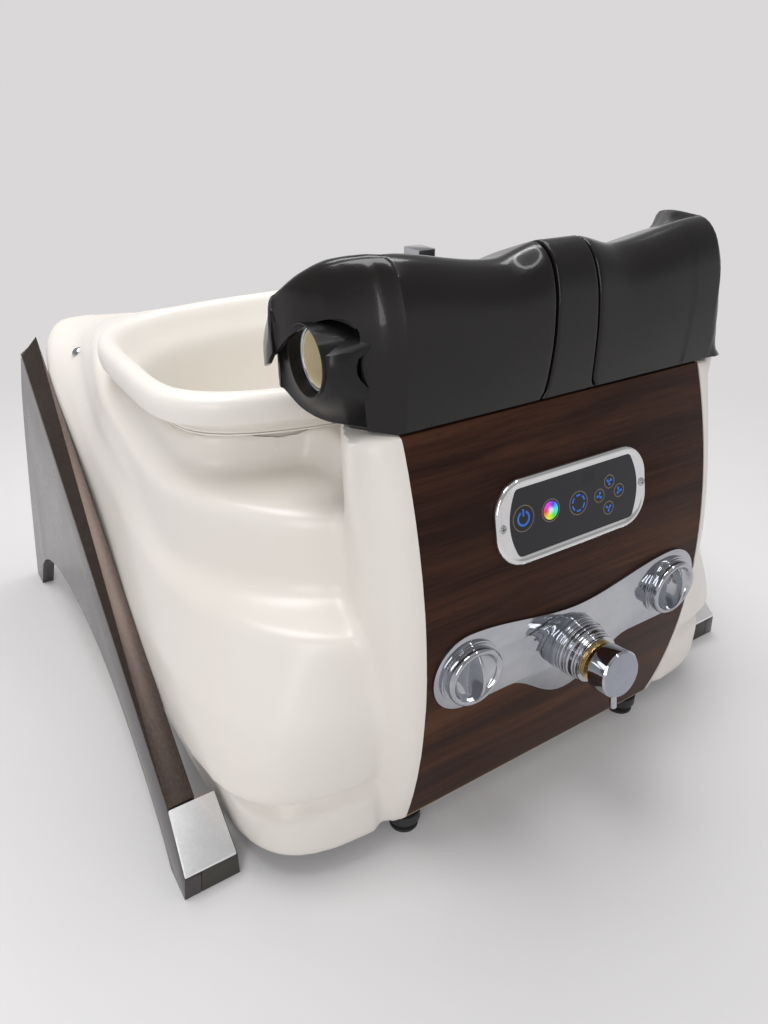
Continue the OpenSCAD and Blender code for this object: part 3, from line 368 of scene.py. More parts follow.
# kind, two or three tones, the two ends of the roughness, and what else differs
finishes = {
    "acrylic": (moulded, (0.83, 0.785, 0.725), (0.86, 0.82, 0.765), 0.3, 0.34, {
        **coat(0.4, 0.12, 0.12), "bumpSize": 0.00003, "scratch": 0.05}),
    # the bowl's acrylic is the shell's cream painted lighter: painted light, for more light falling on the rim and
    # into the bowl
    "bowlAcrylic": (moulded, (0.88, 0.835, 0.775), (0.9, 0.865, 0.81), 0.28, 0.32, {
        **coat(0.4, 0.15, 0.1), "bumpSize": 0.00003, "scratch": 0.05}),
    "charcoal": (moulded, (0.0062, 0.005, 0.0047), (0.0098, 0.008, 0.0075), 0.16, 0.28, {
        **coat(0.22, 0.3, 0.035), "scratch": 0.2}),
    "pocketPlastic": (moulded, (0.0055, 0.005, 0.0055), (0.011, 0.01, 0.011), 0.2, 0.36, {
        **coat(0.25, 0.1, 0.1), "scratch": 0.4}),
    "veneer": (wooden, (0.02, 0.0068, 0.0038), (0.048, 0.018, 0.0095), (0.092, 0.037, 0.019), 0.42, 0.55, {
        **coat(0.12, 0.03, 0.2), "edgeZ": 0.0367}),
    "plyEdge": (wooden, (0.3, 0.2, 0.12), plyTone, (0.6, 0.46, 0.31), 0.6, 0.75, {}),
    "softwood": (wooden, (0.36, 0.24, 0.13), (0.5, 0.36, 0.21), (0.62, 0.48, 0.31), 0.6, 0.75, {}),
    "lacquer": (moulded, (0.04, 0.031, 0.034), (0.05, 0.04, 0.043), 0.24, 0.32, {
        **coat(0.35, 0.25, 0.08), "bumpSize": 0.00003}),
    "toePlastic": (moulded, (0.028, 0.026, 0.021), (0.042, 0.038, 0.031), 0.38, 0.52, {"scratch": 0.5}),
    # the fittings' chrome is dimmed and tinted blue-grey: painted shade standing in for the darker, bluish
    # surroundings it reflects
    "chrome": (polished, (0.4, 0.415, 0.45), (0.54, 0.55, 0.58), 0.04, 0.1, {"size": 14.0, "scratch": 0.1}),
    "brightChrome": (polished, (0.72, 0.72, 0.73), (0.82, 0.82, 0.82), 0.05, 0.11, {}),
    "capFace": (polished, (0.33, 0.35, 0.41), (0.4, 0.42, 0.48), 0.14, 0.24, {"scratch": 0.6}),
    "brass": (polished, (0.52, 0.36, 0.15), (0.66, 0.48, 0.22), 0.2, 0.32, {"size": 60}),
    "copper": (polished, (0.5, 0.23, 0.13), (0.64, 0.33, 0.21), 0.22, 0.38, {"size": 60}),
    "zinc": (polished, (0.42, 0.42, 0.43), (0.56, 0.56, 0.57), 0.28, 0.42, {"size": 70}),
    "frameSteel": (moulded, (0.02, 0.02, 0.021), (0.03, 0.03, 0.032), 0.42, 0.55, {
        "fine": 1500.0, "bumpSize": 0.00015}),
    "rubber": (moulded, (0.018, 0.017, 0.016), (0.028, 0.027, 0.026), 0.6, 0.75, {
        "fine": 1200.0, "bumpSize": 0.0001}),
    "creamPlastic": (moulded, (0.68, 0.57, 0.36), (0.76, 0.67, 0.47), 0.3, 0.42, {}),
    "whitePlastic": (moulded, (0.74, 0.73, 0.7), (0.8, 0.79, 0.77), 0.28, 0.4, {}),
    "electronics": (moulded, (0.02, 0.02, 0.022), (0.032, 0.032, 0.034), 0.4, 0.55, {"fine": 900.0}),
    "darkGlass": (moulded, (0.011, 0.0115, 0.017), (0.016, 0.0165, 0.023), 0.05, 0.12, {
        **coat(0.35, 0.15, 0.03), "bumpSize": 0.00001}),
    "lens": (moulded, (0.55, 0.66, 0.74), (0.62, 0.74, 0.82), 0.2, 0.35, {"Transmission_Weight": 0.4}),
    "keyBlack": (moulded, (0.002, 0.002, 0.003), (0.004, 0.004, 0.006), 0.1, 0.2, {"bumpSize": 0.00001}),
    "keyTan": (moulded, (0.16, 0.12, 0.09), (0.22, 0.165, 0.125), 0.3, 0.4, {}),
    "toeAlloy": (brushed, (0.9, 0.9, 0.91), (0.96, 0.96, 0.97), 0.4, 0.46, {}),
    "bronze": (brushed, (0.056, 0.04, 0.033), (0.082, 0.061, 0.052), 0.32, 0.38, {"metallic": 0.8}),
}
finish = {name: kind(name, *values, **extra) for name, (kind, *values, extra) in finishes.items()}


def glowing(name, colour):
    material, tree, shader, place = newMaterial(name, Roughness=0.4, Emission_Strength=1.0)
    shader.inputs["Base Color"].default_value = (0.01, 0.02, 0.04, 1)
    worn = useGroup(tree, handling, place, Size=160.0)
    tone = ramp(tree, worn["Tone"], [(0.3, [c * 0.75 for c in colour]), (0.7, colour)])
    feed(tree, shader.inputs["Emission Color"], tone)
    return material


finish["keyBlue"] = glowing("keyBlue", (0.010, 0.125, 0.62))
print("materials made:", len(finish))


# the moulded shell

shell = {
    "halfWidth": 322, "back": 374, "front": 355, "backSquare": 8, "edgeSquare": 3.5, "tubY": 40, "flatY": -283,
    "turn": 30, "ledgeLow": 252, "ledgeHigh": 342, "deck": 385, "ridge": 406, "columnTop": 438,
    "voxel": 5.4, "softening": 6, "wall": 4.0, "panelGap": 172.7, "foot": 34,
    # each ring of the wall: height, step outwards, squareness and extra half width
    "walls": [(24, -8, 8, 4), (30, -1, 8, 4), (36, 0, 8, 4), (56, 0, 8, 4), (76, 0, 8, 4), (84, -3, 7.5, 4),
              (89, -9, 7.2, 4), (93, -12, 7, 7), (97, -9, 7.2, 13), (101, -2, 7.5, 18), (108, 0, 7.5, 21),
              (140, 0, 6.3, 19), (173, 0, 5.2, 15)],
    # where the flank's steps end, as shares of the way in from the edge, and the riser beside the columns
    "steps": (0.03, 0.09, 0.22, 0.27, 0.36, 0.43), "sideRiser": 0.62, "riserWidth": 0.07, "flatFrom": 0.95,
}
tub = {"halfWidth": 302, "back": 178, "front": 176, "square": 3.2, "frontSquare": 7, "bow": 42, "holeIn": 33}
panel = {"y": -345, "radius": 600, "midZ": 215}
column = {
    "noseX": 173, "noseR": 24, "noseBack": -295, "noseDeep": 36, "x": 201, "flare": 12, "flareFrom": 280,
    "flareOver": 150, "inner": 140, "rear": [(187, -234), (140, -214)], "low": 30, "step": 12,
}


def oval(phi, a, b, n):
    return (abs(cos(phi) / a) ** n + abs(sin(phi) / b) ** n) ** (-1 / n)


def isColumn(deg):
    return abs(deg - 270) < shell["turn"]


def wallR(deg, wide, square):
    phi = radians(deg)
    if sin(phi) < 0:
        r = oval(phi, wide, shell["front"], square)
    else:
        r = oval(phi, wide, shell["back"], shell["backSquare"])
    if isColumn(deg):
        r = min(r, (shell["tubY"] - shell["flatY"]) / abs(sin(phi)))
    return r


def rimXY(deg, inset):
    phi = radians(deg)
    a = tub["halfWidth"] - inset
    front = sin(phi) < 0
    reach, square = (tub["front"], tub["frontSquare"]) if front else (tub["back"], tub["square"])
    r = oval(phi, a, reach - inset, square)
    x = r * cos(phi)
    bow = tub["bow"] * (1 - (x / a) ** 2) * unit(-4 * sin(phi)) if front else 0
    return x, shell["tubY"] + r * sin(phi) - bow


def crestZ(y):
    return softMin(shell["ridge"] - 6, softMax(shell["ledgeLow"], 84 + 0.508 * (y + 220), 30), 10)


def ridgeZ(y):
    return softMin(shell["ridge"], softMax(shell["ledgeHigh"], 369 + 0.25 * (y - 79), 14), 10)


def terraceZ(deg, x, y, f, land):
    # height of the flank's steps at the share f of the way in; they flatten towards the front
    front = ease((60 - y) / 170)
    side = ease((deg - 225 if deg < 270 else 315 - deg) / 12)
    back = ease((abs(y) - 330) / 60) if y > 0 else 0
    sag = back * 20 * (1 - unit(abs(x) / 280) ** 3)
    low, high = crestZ(y) - sag, ridgeZ(y) - sag * 0.6
    treads = [lerp(lerp(low, high, share), low + rise, front) for share, rise in ((0.2, 2), (0.5, 9), (0.72, 14))]
    levels = [low - 9, low, *treads, high - 5, high]
    start = 0
    for k, end in enumerate(shell["steps"]):
        if f < end:
            share = (f - start) / (end - start)
            return lerp(levels[k], levels[k + 1], ease(share) if k == 4 else share)
        start = end
    riser = lerp(land, shell["sideRiser"], side)
    top = lerp(shell["deck"] + 2, high + 9, front)
    if f < riser:
        return lerp(high, top, ease((f - start) / lerp(0.3, riser - start, front)))
    return lerp(top, shell["deck"], ease((f - riser) / shell["riserWidth"]) if f < shell["flatFrom"] else 1)


def columnTopZ(f):
    top = shell["columnTop"]
    return top - 10 * (1 - unit(f / 0.04)) - (top - shell["deck"]) * ease((f - 0.58) / 0.2)


def shellPoint(deg, f):
    phi = radians(deg)
    outer = wallR(deg, shell["halfWidth"], shell["edgeSquare"])
    ix, iy = rimXY(deg, tub["holeIn"] + 3)
    inner = hypot(ix, iy - shell["tubY"])
    r = lerp(outer, inner, f)
    x, y = r * cos(phi), shell["tubY"] + r * sin(phi)
    land = min(0.85, 1 - 13 / (outer - inner) - 0.08)
    return x, y, columnTopZ(f) if isColumn(deg) else terraceZ(deg, x, y, f, land)


def wallRing(degs, z, out, square, extra):
    ring = []
    for deg in degs:
        r = wallR(deg, shell["halfWidth"] + extra, square) + out
        ring.append((r * cos(radians(deg)), shell["tubY"] + r * sin(radians(deg)), z))
    return ring


def columnY(z):
    return panel["y"] + panel["radius"] - sqrt(panel["radius"] ** 2 - (z - panel["midZ"]) ** 2) - 1


def makeColumn(side):
    sections = []
    for z in [column["low"] + column["step"] * k for k in range(34)] + [shell["columnTop"]]:
        y, x = columnY(z), column["x"] + column["flare"] * ease((z - column["flareFrom"]) / column["flareOver"])
        deep = min(column["noseDeep"], column["noseBack"] - y)
        turns = [radians(a) for a in range(0, 91, 6)]
        nose = [(column["noseX"] + column["noseR"] * sin(t), y + deep * (1 - cos(t))) for t in turns]
        outline = [(column["inner"], y)] + nose + [(x, -291), (x - 5, -271)] + column["rear"]
        sections.append([(side * p[0], p[1], z) for p in outline])
    return loft("frontColumn", sections, capped=True)


def makeShell():
    degs = [90 + 1.5 * k for k in range(240)]
    rings = [wallRing(degs, *wall) for wall in shell["walls"]]
    high, edge = rings[-1], [shellPoint(d, 0) for d in degs]
    for share in (0.5, 0.85):
        rings.append([tuple(lerp(a, b, share) for a, b in zip(p, q)) for p, q in zip(high, edge)])
    for f in [0, 0.01, 0.02, 0.03, 0.045] + [0.06 + 0.0125 * k for k in range(75)] + [1]:
        rings.append([shellPoint(d, f) for d in degs])
    piece = loft("mouldedShell", rings, capped=True)
    for side in (-1, 1):
        front = makeColumn(side)
        pick(piece)
        front.select_set(True)
        bpy.ops.object.join()
    tidyMesh(piece)
    modify(piece, "REMESH", voxel_size=shell["voxel"] * mm)
    modify(piece, "SMOOTH", factor=0.5, iterations=shell["softening"])
    # the slot between the columns, where the panel stands
    bpy.ops.mesh.primitive_cube_add(size=1, location=(0, -0.355, 0.25), scale=(2 * shell["panelGap"] * mm, 0.14, 0.6))
    slot = bpy.context.object
    settle(slot)
    cut(piece, slot)
    # the hole that takes the bowl
    cut(piece, prism("holeCutter", [rimXY(90 + 3 * k, tub["holeIn"]) for k in range(120)], (330, 520)))

    def isOpen(c, n):
        # the floor inside the hole and the underside go, so that the wall is one skin
        deg = degrees(atan2(c.y - shell["tubY"], c.x)) % 360
        x, y = rimXY(deg, tub["holeIn"] - 1.5)
        inside = hypot(c.x, c.y - shell["tubY"]) < hypot(x, y - shell["tubY"])
        return (inside and c.z < shell["deck"] - 1) or (c.z < shell["foot"] and n.z < -0.6)

    def clear(bm):
        bm.normal_update()
        gone = [f for f in bm.faces if isOpen(f.calc_center_median() / mm, f.normal)]
        bmesh.ops.delete(bm, geom=gone, context="FACES")

    editMesh(piece, clear)
    modify(piece, "SOLIDIFY", thickness=shell["wall"] * mm)
    tidyMesh(piece)
    complete(piece, 40, "acrylic", "base", "acrylic", "outer_shell")


makeShell()
print("shell made")


# the bowl: its section from under the floor, up the outside, over the rim and down the inside, as inset and height

bowl = {
    "profile": [
        (150, 145), (108, 147), (88, 156), (70, 192), (52, 300), (39, 350), (37, 381), (37, 386.5), (26, 386.5),
        (26, 389.5), (30, 392), (25, 400), (24, 405), (4, 405), (1, 408), (0, 414), (0, 424), (2, 430), (6, 433.5),
        (11, 435), (16, 434.2), (20, 431), (24, 425), (30, 412), (38, 400), (43, 388), (47, 350), (57, 300),
        (75, 194), (92, 163), (112, 152), (150, 150)],
    "wallLow": (75, 194), "wallHigh": (57, 300),
    "drain": (20, 21.0), "jet": (0, 240, 31.0), "lamp": (78, 240, 14.0),
}


def backWall(x, z):
    # the place and turn of a fitting on the bowl's back wall
    (lowIn, lowZ), (highIn, highZ) = bowl["wallLow"], bowl["wallHigh"]
    wet = lerp(lowIn, highIn, (z - lowZ) / (highZ - lowZ))
    depth, power = tub["back"] - wet, tub["square"]
    q = (abs(x) / (tub["halfWidth"] - wet)) ** power
    slope = 0 if x == 0 else atan(depth * (1 - q) ** (1 / power - 1) * q / x)
    tilt = atan((lowIn - highIn) / (highZ - lowZ))
    place = Matrix.Translation(Vector((x, shell["tubY"] + depth * (1 - q) ** (1 / power), z)) * mm)
    return place @ Matrix.Rotation(-slope, 4, "Z") @ Matrix.Rotation(pi / 2 - tilt, 4, "X")


def makeBowl():
    degs = [90 + 6 * k for k in range(15)] + [180 + 3 * k for k in range(31)]
    degs += [540 - d for d in degs[-2:0:-1]]
    rings = [[(*rimXY(d, inset), z) for d in degs] for inset, z in bowl["profile"]]
    piece = loft("moldedBowl", rings, capped=True)
    modify(piece, "SUBSURF", levels=2)
    y, r = bowl["drain"]
    cut(piece, cylinder(r * mm, 0.05, (0, y * mm, 0.15)))
    for x, z, r in (bowl["jet"], bowl["lamp"]):
        tool = cylinder(r * mm, 0.04)
        tool.matrix_world = backWall(x, z)
        cut(piece, tool)
    # the bowl takes the lighter acrylic, whose extra lightness is painted light
    complete(piece, 40, "bowlAcrylic", "base", "acrylic", "basin_bowl")


makeBowl()
print("bowl made")


# the leg rest

rest = {
    "halfWidth": 234, "faceHalf": 170, "low": 441, "top": 568, "sag": 14, "front": -300, "back": -158, "bulge": 12,
    "groove": 2.2, "grooveDeep": 9, "lip": 3.0, "spineLip": 2.2, "wall": 4.0, "spineLow": 30, "spineTop": 21,
    "spinePower": 0.3, "middle": 60, "under": 10,
    "endBack": [(0, 0), (0.45, 1), (0.6, 3), (0.75, 9), (0.86, 18), (0.94, 29), (0.98, 37), (1, 43)],
    "face": [(8, 0), (6, 0.2), (5.5, 0.4), (7, 0.57), (9.5, 0.7), (13.5, 0.8), (17.5, 0.87), (22, 0.92), (29, 0.97),
             (39, 1), (52, 0.975)],
    "rear": [(62, 0.86), (34, 0.74), (14, 0.63), (4, 0.54), (0, 0.45), (0, 0)],
    # plan of the front, lean with height, and the fall of the top: where it starts, how much, its power
    "round": {"plan": [(0, 0), (0.27, 14), (0.5, 29), (0.69, 43), (0.84, 59), (0.93, 73), (0.98, 88), (1, 98)],
              "lean": 0.08, "from": 84, "drop": 60, "power": 2.7},
    "square": {"plan": [(0, 0), (0.4, 0), (0.5, 3), (0.58, 10), (0.66, 24), (0.78, 46), (0.9, 68), (1, 90)],
               "lean": 0.42, "from": 50, "drop": 52, "power": 2.2},
}


def tableAt(table, s, blur=0.018):
    xs, ys = zip(*table)
    at = np.linspace(s - blur, s + blur, 9)
    return float(np.where(at < 0, ys[0], np.interp(np.clip(at, 0, 1), xs, ys)).mean())


def restTop(x, end):
    a, start = abs(x), rest["halfWidth"] - rest[end]["from"]
    share = unit((a - start) / rest[end]["from"])
    fall = rest[end]["drop"] * (1 - sqrt(1 - share ** rest[end]["power"]))
    return rest["top"] - rest["sag"] * (ease((180 - a) / 115) - 0.72 * ease((66 - a) / 50)) - fall


def restFront(s, high, end):
    plan = tableAt(rest[end]["plan"], s + rest[end]["lean"] * sqrt(high) * unit(s / 0.15))
    return rest["front"] - rest["bulge"] + plan


def spreadCurve(points, count):
    # an even Catmull-Rom curve through the points
    pts = np.array(points, float)
    pts = np.vstack([2 * pts[0] - pts[1], pts, 2 * pts[-1] - pts[-2]])
    dense = []
    for i in range(1, len(pts) - 2):
        p0, p1, p2, p3 = pts[i - 1:i + 3]
        for t in np.linspace(0, 1, 16, endpoint=False):
            dense.append(0.5 * ((2 * p1) + (-p0 + p2) * t + (2 * p0 - 5 * p1 + 4 * p2 - p3) * t ** 2
                                + (-p0 + 3 * p1 - 3 * p2 + p3) * t ** 3))
    dense.append(pts[-2])
    dense = np.array(dense)
    steps = np.r_[0, np.cumsum(np.linalg.norm(np.diff(dense, axis=0), axis=1))]
    at = np.linspace(0, steps[-1], count)
    return np.stack([np.interp(at, steps, dense[:, k]) for k in range(dense.shape[1])], axis=1)


def lowEdge(inset):
    # an inner section reaches further down, so that its wall stays open below
    return rest["low"] - (rest["under"] if inset > 5 else 0)


def restSection(x, inset=0.0, end="round"):
    a = abs(x)
    s = unit((a + inset - rest["faceHalf"]) / (rest["halfWidth"] - rest["faceHalf"]))
    front = restFront(s, 1, end) + inset
    back = max(front + 3, rest["back"] - inset - tableAt(rest["endBack"], s))
    low = lowEdge(inset)
    tall = restTop(a + inset, end) - inset - low
    k = min(1, (back - front) / 125)
    points = [(restFront(s, p[1], end) + inset + p[0] * k, low + p[1] * tall) for p in rest["face"]]
    points += [(back - p[0] * k, low + p[1] * tall) for p in rest["rear"]]
    return spreadCurve(points, 56)


def spineX(z):
    share = unit((z - rest["low"]) / (rest["top"] - rest["low"])) ** rest["spinePower"]
    return lerp(rest["spineLow"], rest["spineTop"], share)


def shiftedSection(share, grow, inset, side):
    # a section whose points start at the sloping groove and reach the end as share goes to 1
    base, low = restSection(rest["middle"], inset), lowEdge(inset)
    tall = restTop(rest["middle"], "round") - inset - low
    rows = base
    for _ in range(3):
        guess = [lerp(spineX(p[1]) + grow, rest["halfWidth"], share) for p in rows]
        rows = [(p[0], low + (p[1] - low) * (restTop(g, "round") - inset - low) / tall) for g, p in zip(guess, base)]
    return [(side * g, p[0], p[1]) for g, p in zip(guess, rows)]


def faceOut(bm, aboveZ):
    # the top looks up
    if sum(f.normal.z * f.calc_area() for f in bm.faces if f.calc_center_median().z > aboveZ) < 0:
        bmesh.ops.reverse_faces(bm, faces=bm.faces)


def closeEnd(bm, fromX):
    rim = [e for e in bm.edges if e.is_boundary and all(abs(v.co.x) > fromX for v in e.verts)]
    bmesh.ops.contextual_create(bm, geom=rim)
    bm.normal_update()
    faceOut(bm, 0.53)


def makePad(side, name, end):
    lip, groove = rest["lip"], rest["groove"]
    sections = [shiftedSection(0, groove, rest["grooveDeep"], side)]
    for turn in [radians(15 * k) for k in range(7)]:
        sections.append(shiftedSection(0, groove + lip * (1 - cos(turn)), lip * (1 - sin(turn)), side))
    for share in [0.03 * k + 0.02 for k in range(19)]:
        sections.append(shiftedSection(share, groove + lip, 0, side))
    for x in list(np.arange(146, 226, 2.0)) + [227, 228.5, 230, 231.2, 232.2, 233, 233.6]:
        sections.append([(side * x, *p) for p in restSection(x, end=end)])
    # the end closes over its last section
    last = np.array(sections[-1])
    middle = (last.min(axis=0) + last.max(axis=0)) / 2
    for x, share in ((233.8, 0.9), (233.9, 0.6)):
        shrunk = middle + (last - middle) * share
        shrunk[:, 2] = np.where(last[:, 2] < middle[2], last[:, 2], shrunk[:, 2])
        shrunk[:, 0] = side * x
        sections.append([tuple(p) for p in shrunk])
    piece = loft(name, sections, closed=False)
    editMesh(piece, lambda bm: closeEnd(bm, 0.2338))
    modify(piece, "SOLIDIFY", thickness=rest["wall"] * mm)
    return piece


pocket = {
    "arch": [(15, -12), (15, 1), (18, 39), (20, 65), (21.5, 76), (28, 82.5), (34, 83.7), (48.4, 79.6), (71.5, 65),
             (91, 46), (98, 38)],
    "archBack": [(108, 33), (160, 33), (160, -12)],
    "skin": [(14, 0), (44, 0), (68, 6), (87, 14), (103, 22), (112, 29)],
    "skinBack": [(112, 50), (86, 68), (62, 95), (30, 95), (14, 85)],
    "socket": (-250, 492.5), "ring": 27, "plane": -222.5, "blend": 26, "under": 502, "inset": 8.2, "wall": 3.0,
    # the socket's boss, the room in front of it and its bore: radius, depth, middle
    "turned": [(28, 43, -203.5, "UNION"), (27.2, 100, -262, "DIFFERENCE"), (23.06, 200, -212, "DIFFERENCE")],
}


def restPrism(name, curve, count, back, lows):
    points = [tuple(p) for p in spreadCurve(curve, count)] + back
    return prism(name, [(rest["front"] + y, rest["low"] + z) for y, z in points], lows, turned=True)


def makePads():
    right = makePad(1, "footPadRight", "square")
    left = makePad(-1, "footPadLeft", "round")
    cut(left, restPrism("archCutter", pocket["arch"], 60, pocket["archBack"], (-260, -178)), crossed=True)
    for piece, replaced in ((left, "footrest_pad_left"), (right, "footrest_pad_right")):
        tidyMesh(piece)
        complete(piece, 40, "charcoal", "base", "charcoal", replaced)


def makeSpine():
    lip = rest["spineLip"]
    sections = [[((k / 12 - 1) * (spineX(p[1]) - lip), *p) for p in restSection(0)] for k in range(25)]
    for side in (-1, 1):
        edge = []
        for turn in [radians(15 * k) for k in range(1, 7)]:
            rows = restSection(0, lip * (1 - cos(turn)))
            edge.append([(side * (spineX(p[1]) - lip + lip * sin(turn)), *p) for p in rows])
        edge.append([(side * spineX(p[1]), *p) for p in restSection(0, rest["grooveDeep"])])
        sections = edge[::-1] + sections if side < 0 else sections + edge
    piece = loft("footSpine", sections, closed=False)
    editMesh(piece, lambda bm: faceOut(bm, 0.54))
    modify(piece, "SOLIDIFY", thickness=rest["wall"] * mm)
    complete(piece, 40, "charcoal", "base", "charcoal", "footrest_spine")


def makePocket():
    stations = list(np.arange(160, 215, 3.0)) + list(np.arange(216, 226, 1.0))
    sections = [[(-x, *p) for p in restSection(x, pocket["inset"])] for x in stations]
    piece = loft("socketPocket", sections, closed=False)
    cutter = restPrism("pocketCutter", pocket["skin"], 30, pocket["skinBack"], (-240, -172))
    editMesh(piece, lambda bm: closeEnd(bm, 0.2245))
    # the skin swells out to the ring's plane, so that no step shows round it
    y, z = pocket["socket"]
    for vert in piece.data.vertices:
        atX, atY, atZ = [c / mm for c in vert.co]
        far = hypot(atY - y, atZ - z)
        near = (1 - ease((far - pocket["ring"] - 1) / pocket["blend"])) * (1 - ease((atZ - pocket["under"]) / 14))
        if pocket["plane"] < atX < -150:
            vert.co.x = lerp(vert.co.x, pocket["plane"] * mm, near)
    modify(piece, "SOLIDIFY", thickness=pocket["wall"] * mm)
    cut(piece, cutter, "INTERSECT", crossed=True)
    for radius, depth, x, operation in pocket["turned"]:
        tool = cylinder(radius * mm, depth * mm, (x * mm, y * mm, z * mm), (0, pi / 2, 0), sides=96)
        settle(tool)
        cut(piece, tool, operation)
    complete(piece, 35, "pocketPlastic", "base", "charcoal", "sprayer_pocket")


makePads()
makeSpine()
print("leg rest made")
makePocket()
print("pocket made")


# pieces that keep their CAD shape, with eased edges

# finish and record slot: each node's edge width in mm; a name that ends in _ is a left and a right node
eased = {
    ("veneer", "veneer"): {"front_panel": 0.8},
    ("softwood", "softwood"): {"panel_cleats": 1.0},
    ("lacquer", "lacquer"): {"side_panel_": 1.6},
    ("bronze", "bronze"): {"trim_strip_": 0.5},
    ("toePlastic", "toe_plastic"): {"toe_block_": 0.8},
    ("toeAlloy", "alloy"): {"toe_cap_": 0.9},
    ("frameSteel", "frame_steel"): {
        "front_crossbar": 0.8, "rear_crossbar": 0.8, "frame_rail_": 0.8, "footrest_plate": 0.5},
    ("zinc", "zinc"): {"arm_bolts": 0.4, "jam_nuts": 0.4, "bezel_screws": 0.25},
    ("rubber", "rubber"): {"levelling_feet": 0.6},
    # the gasket takes the bowl's lighter acrylic, whose extra lightness is painted light
    ("bowlAcrylic", "rubber"): {"bowl_gasket": 0},
    ("creamPlastic", "cream_plastic"): {"sprayer_sleeve": 0.4},
    ("chrome", "brass"): {"sprayer_ring": 0.5},
    ("chrome", "chrome"): {
        "deck_caps": 0.35, "spout_base": 0.8, "spout": 1.2, "valve_plate": 0.9, "diverter_collar_": 0.7,
        "mixer_flange": 0.7, "mixer_sleeve": 0.3, "mixer_cap": 0.6, "mixer_lever": 0.3, "drain_flange": 0.5,
        "drain_stopper": 0.6, "jet_ring": 0.4, "lamp_ring": 0.4},
    ("brass", "brass"): {"diverter_body_": 0.8, "mixer_swivel": 0.3, "mixer_body": 0.8},
    ("copper", "copper"): {"cross_pipes": 0, "hot_pipe": 0.3, "cold_pipe": 0.3},
    ("whitePlastic", "white_plastic"): {"drain_tailpiece": 0.4, "jet_cover": 0.4, "jet_impeller": 0.3},
    ("electronics", "electronics"): {"control_module": 0.8, "jet_motor": 0.8},
    ("lens", "lens"): {"lamp_lens": 0.4},
}
# smoothing angles other than 30 degrees
easedAngle = {"front_panel": 20, "side_panel_": 25, "trim_strip_": 25, "valve_plate": 25, "mixer_sleeve": 35}


def easeEdges(name, look, slotName, width, angle):
    piece = addObject(name.replace("_", "-") + "-eased", nodes[name].data.copy())
    pick(piece)
    bpy.ops.mesh.customdata_custom_splitnormals_clear()
    tidyMesh(piece, flatten=True)
    if width:
        modify(piece, "BEVEL", width=width * mm, segments=3, limit_method="ANGLE", angle_limit=radians(38))
    return complete(piece, angle, look, bodyOf[name], slotName, name)


def paintFaces(piece, look, test):
    # a second finish on the faces whose normal passes the test
    piece.data.materials.append(finish[look])
    for face in piece.data.polygons:
        if test(face.normal):
            face.material_index = len(piece.data.materials) - 1


dressed = {}
for kind, group in eased.items():
    for part, width in group.items():
        for name in [part + side for side in ("left", "right")] if part.endswith("_") else [part]:
            dressed[name] = easeEdges(name, *kind, width, easedAngle.get(part, 30))
for name in ("side_panel_left", "side_panel_right"):
    paintFaces(dressed[name], "bronze", lambda n: n.z > 0.6 and n.y < -0.3)  # the strip's colour runs over the edge
paintFaces(dressed["front_panel"], "plyEdge", lambda n: n.z < -0.6)
paintFaces(dressed["mixer_cap"], "capFace", lambda n: n.y < -0.93)
print("eased pieces made:", len(dressed))


def onPanel(x, z):
    # a place on the panel's curved face, its Z pointing out of it
    lean = asin((z - panel["midZ"]) / panel["radius"])
    at = Vector((x, panel["y"] + panel["radius"] * (1 - cos(lean)), z))
    return Matrix.Translation(at * mm) @ Matrix.Rotation(pi / 2 - lean, 4, "X"), lean


# diverter knobs: a turned dish and the fin across it, whose top is an arc

knob = {
    "x": 128, "z": 222, "sides": 96,
    "turned": [(0, 8.5), (18.5, 8.5), (21, 9.2), (22.8, 11.4), (23.8, 13.8), (25.4, 14.9), (27.2, 14.7),
               (28.5, 13.5), (29, 11.8), (29, 6.6), (28.5, 5.2), (27.2, 4.4), (14, 4.4), (0, 4.4)],
    "finHalf": 26.5, "finWide": 7.2, "finLow": 6.5, "ridge": 1.5, "ridgeHigh": 0.8,
    "arcCentre": -13, "arcRadius": 37.5,
}


def circle(radius, count):
    turns = [2 * pi * k / count for k in range(count)]
    return [(radius * cos(t), radius * sin(t)) for t in turns]


def makeKnob(side, name, body, replaced):
    rings = [[(x, y, z) for x, y in circle(max(r, 0.02), knob["sides"])] for r, z in knob["turned"]]
    piece = loft(name, rings, capped=True)
    sections = []
    half, soft = knob["finHalf"], knob["ridgeHigh"]
    for k in range(41):
        v = half * sin(pi / 2 * (k / 20 - 1))
        top = knob["arcCentre"] + sqrt(knob["arcRadius"] ** 2 - v * v)
        wide = knob["finWide"] * sqrt(max(0.02, 1 - (v / (half + 0.6)) ** 2))
        ridge = min(knob["ridge"], wide * 0.8)
        flank = [(lerp(wide, ridge, sin(pi / 2 * t) ** 0.8), lerp(knob["finLow"], top - soft, t))
                 for t in np.linspace(0, 1, 12)]
        crest = [(ridge * cos(t), top - soft + soft * sin(t)) for t in np.linspace(0.4, pi - 0.4, 5)]
        section = flank + crest + [(-a, b) for a, b in flank[::-1]]
        sections.append([(a, v, b) for a, b in section])
    cut(piece, loft(name + "Fin", sections, capped=True), "UNION")
    piece.data.transform(onPanel(side * knob["x"], knob["z"])[0])
    complete(piece, 42, "chrome", body, "chrome", replaced)


makeKnob(-1, "diverterKnobLeft", "left_diverter", "diverter_knob_left")
makeKnob(1, "diverterKnobRight", "right_diverter", "diverter_knob_right")
print("knobs made")


# keypad

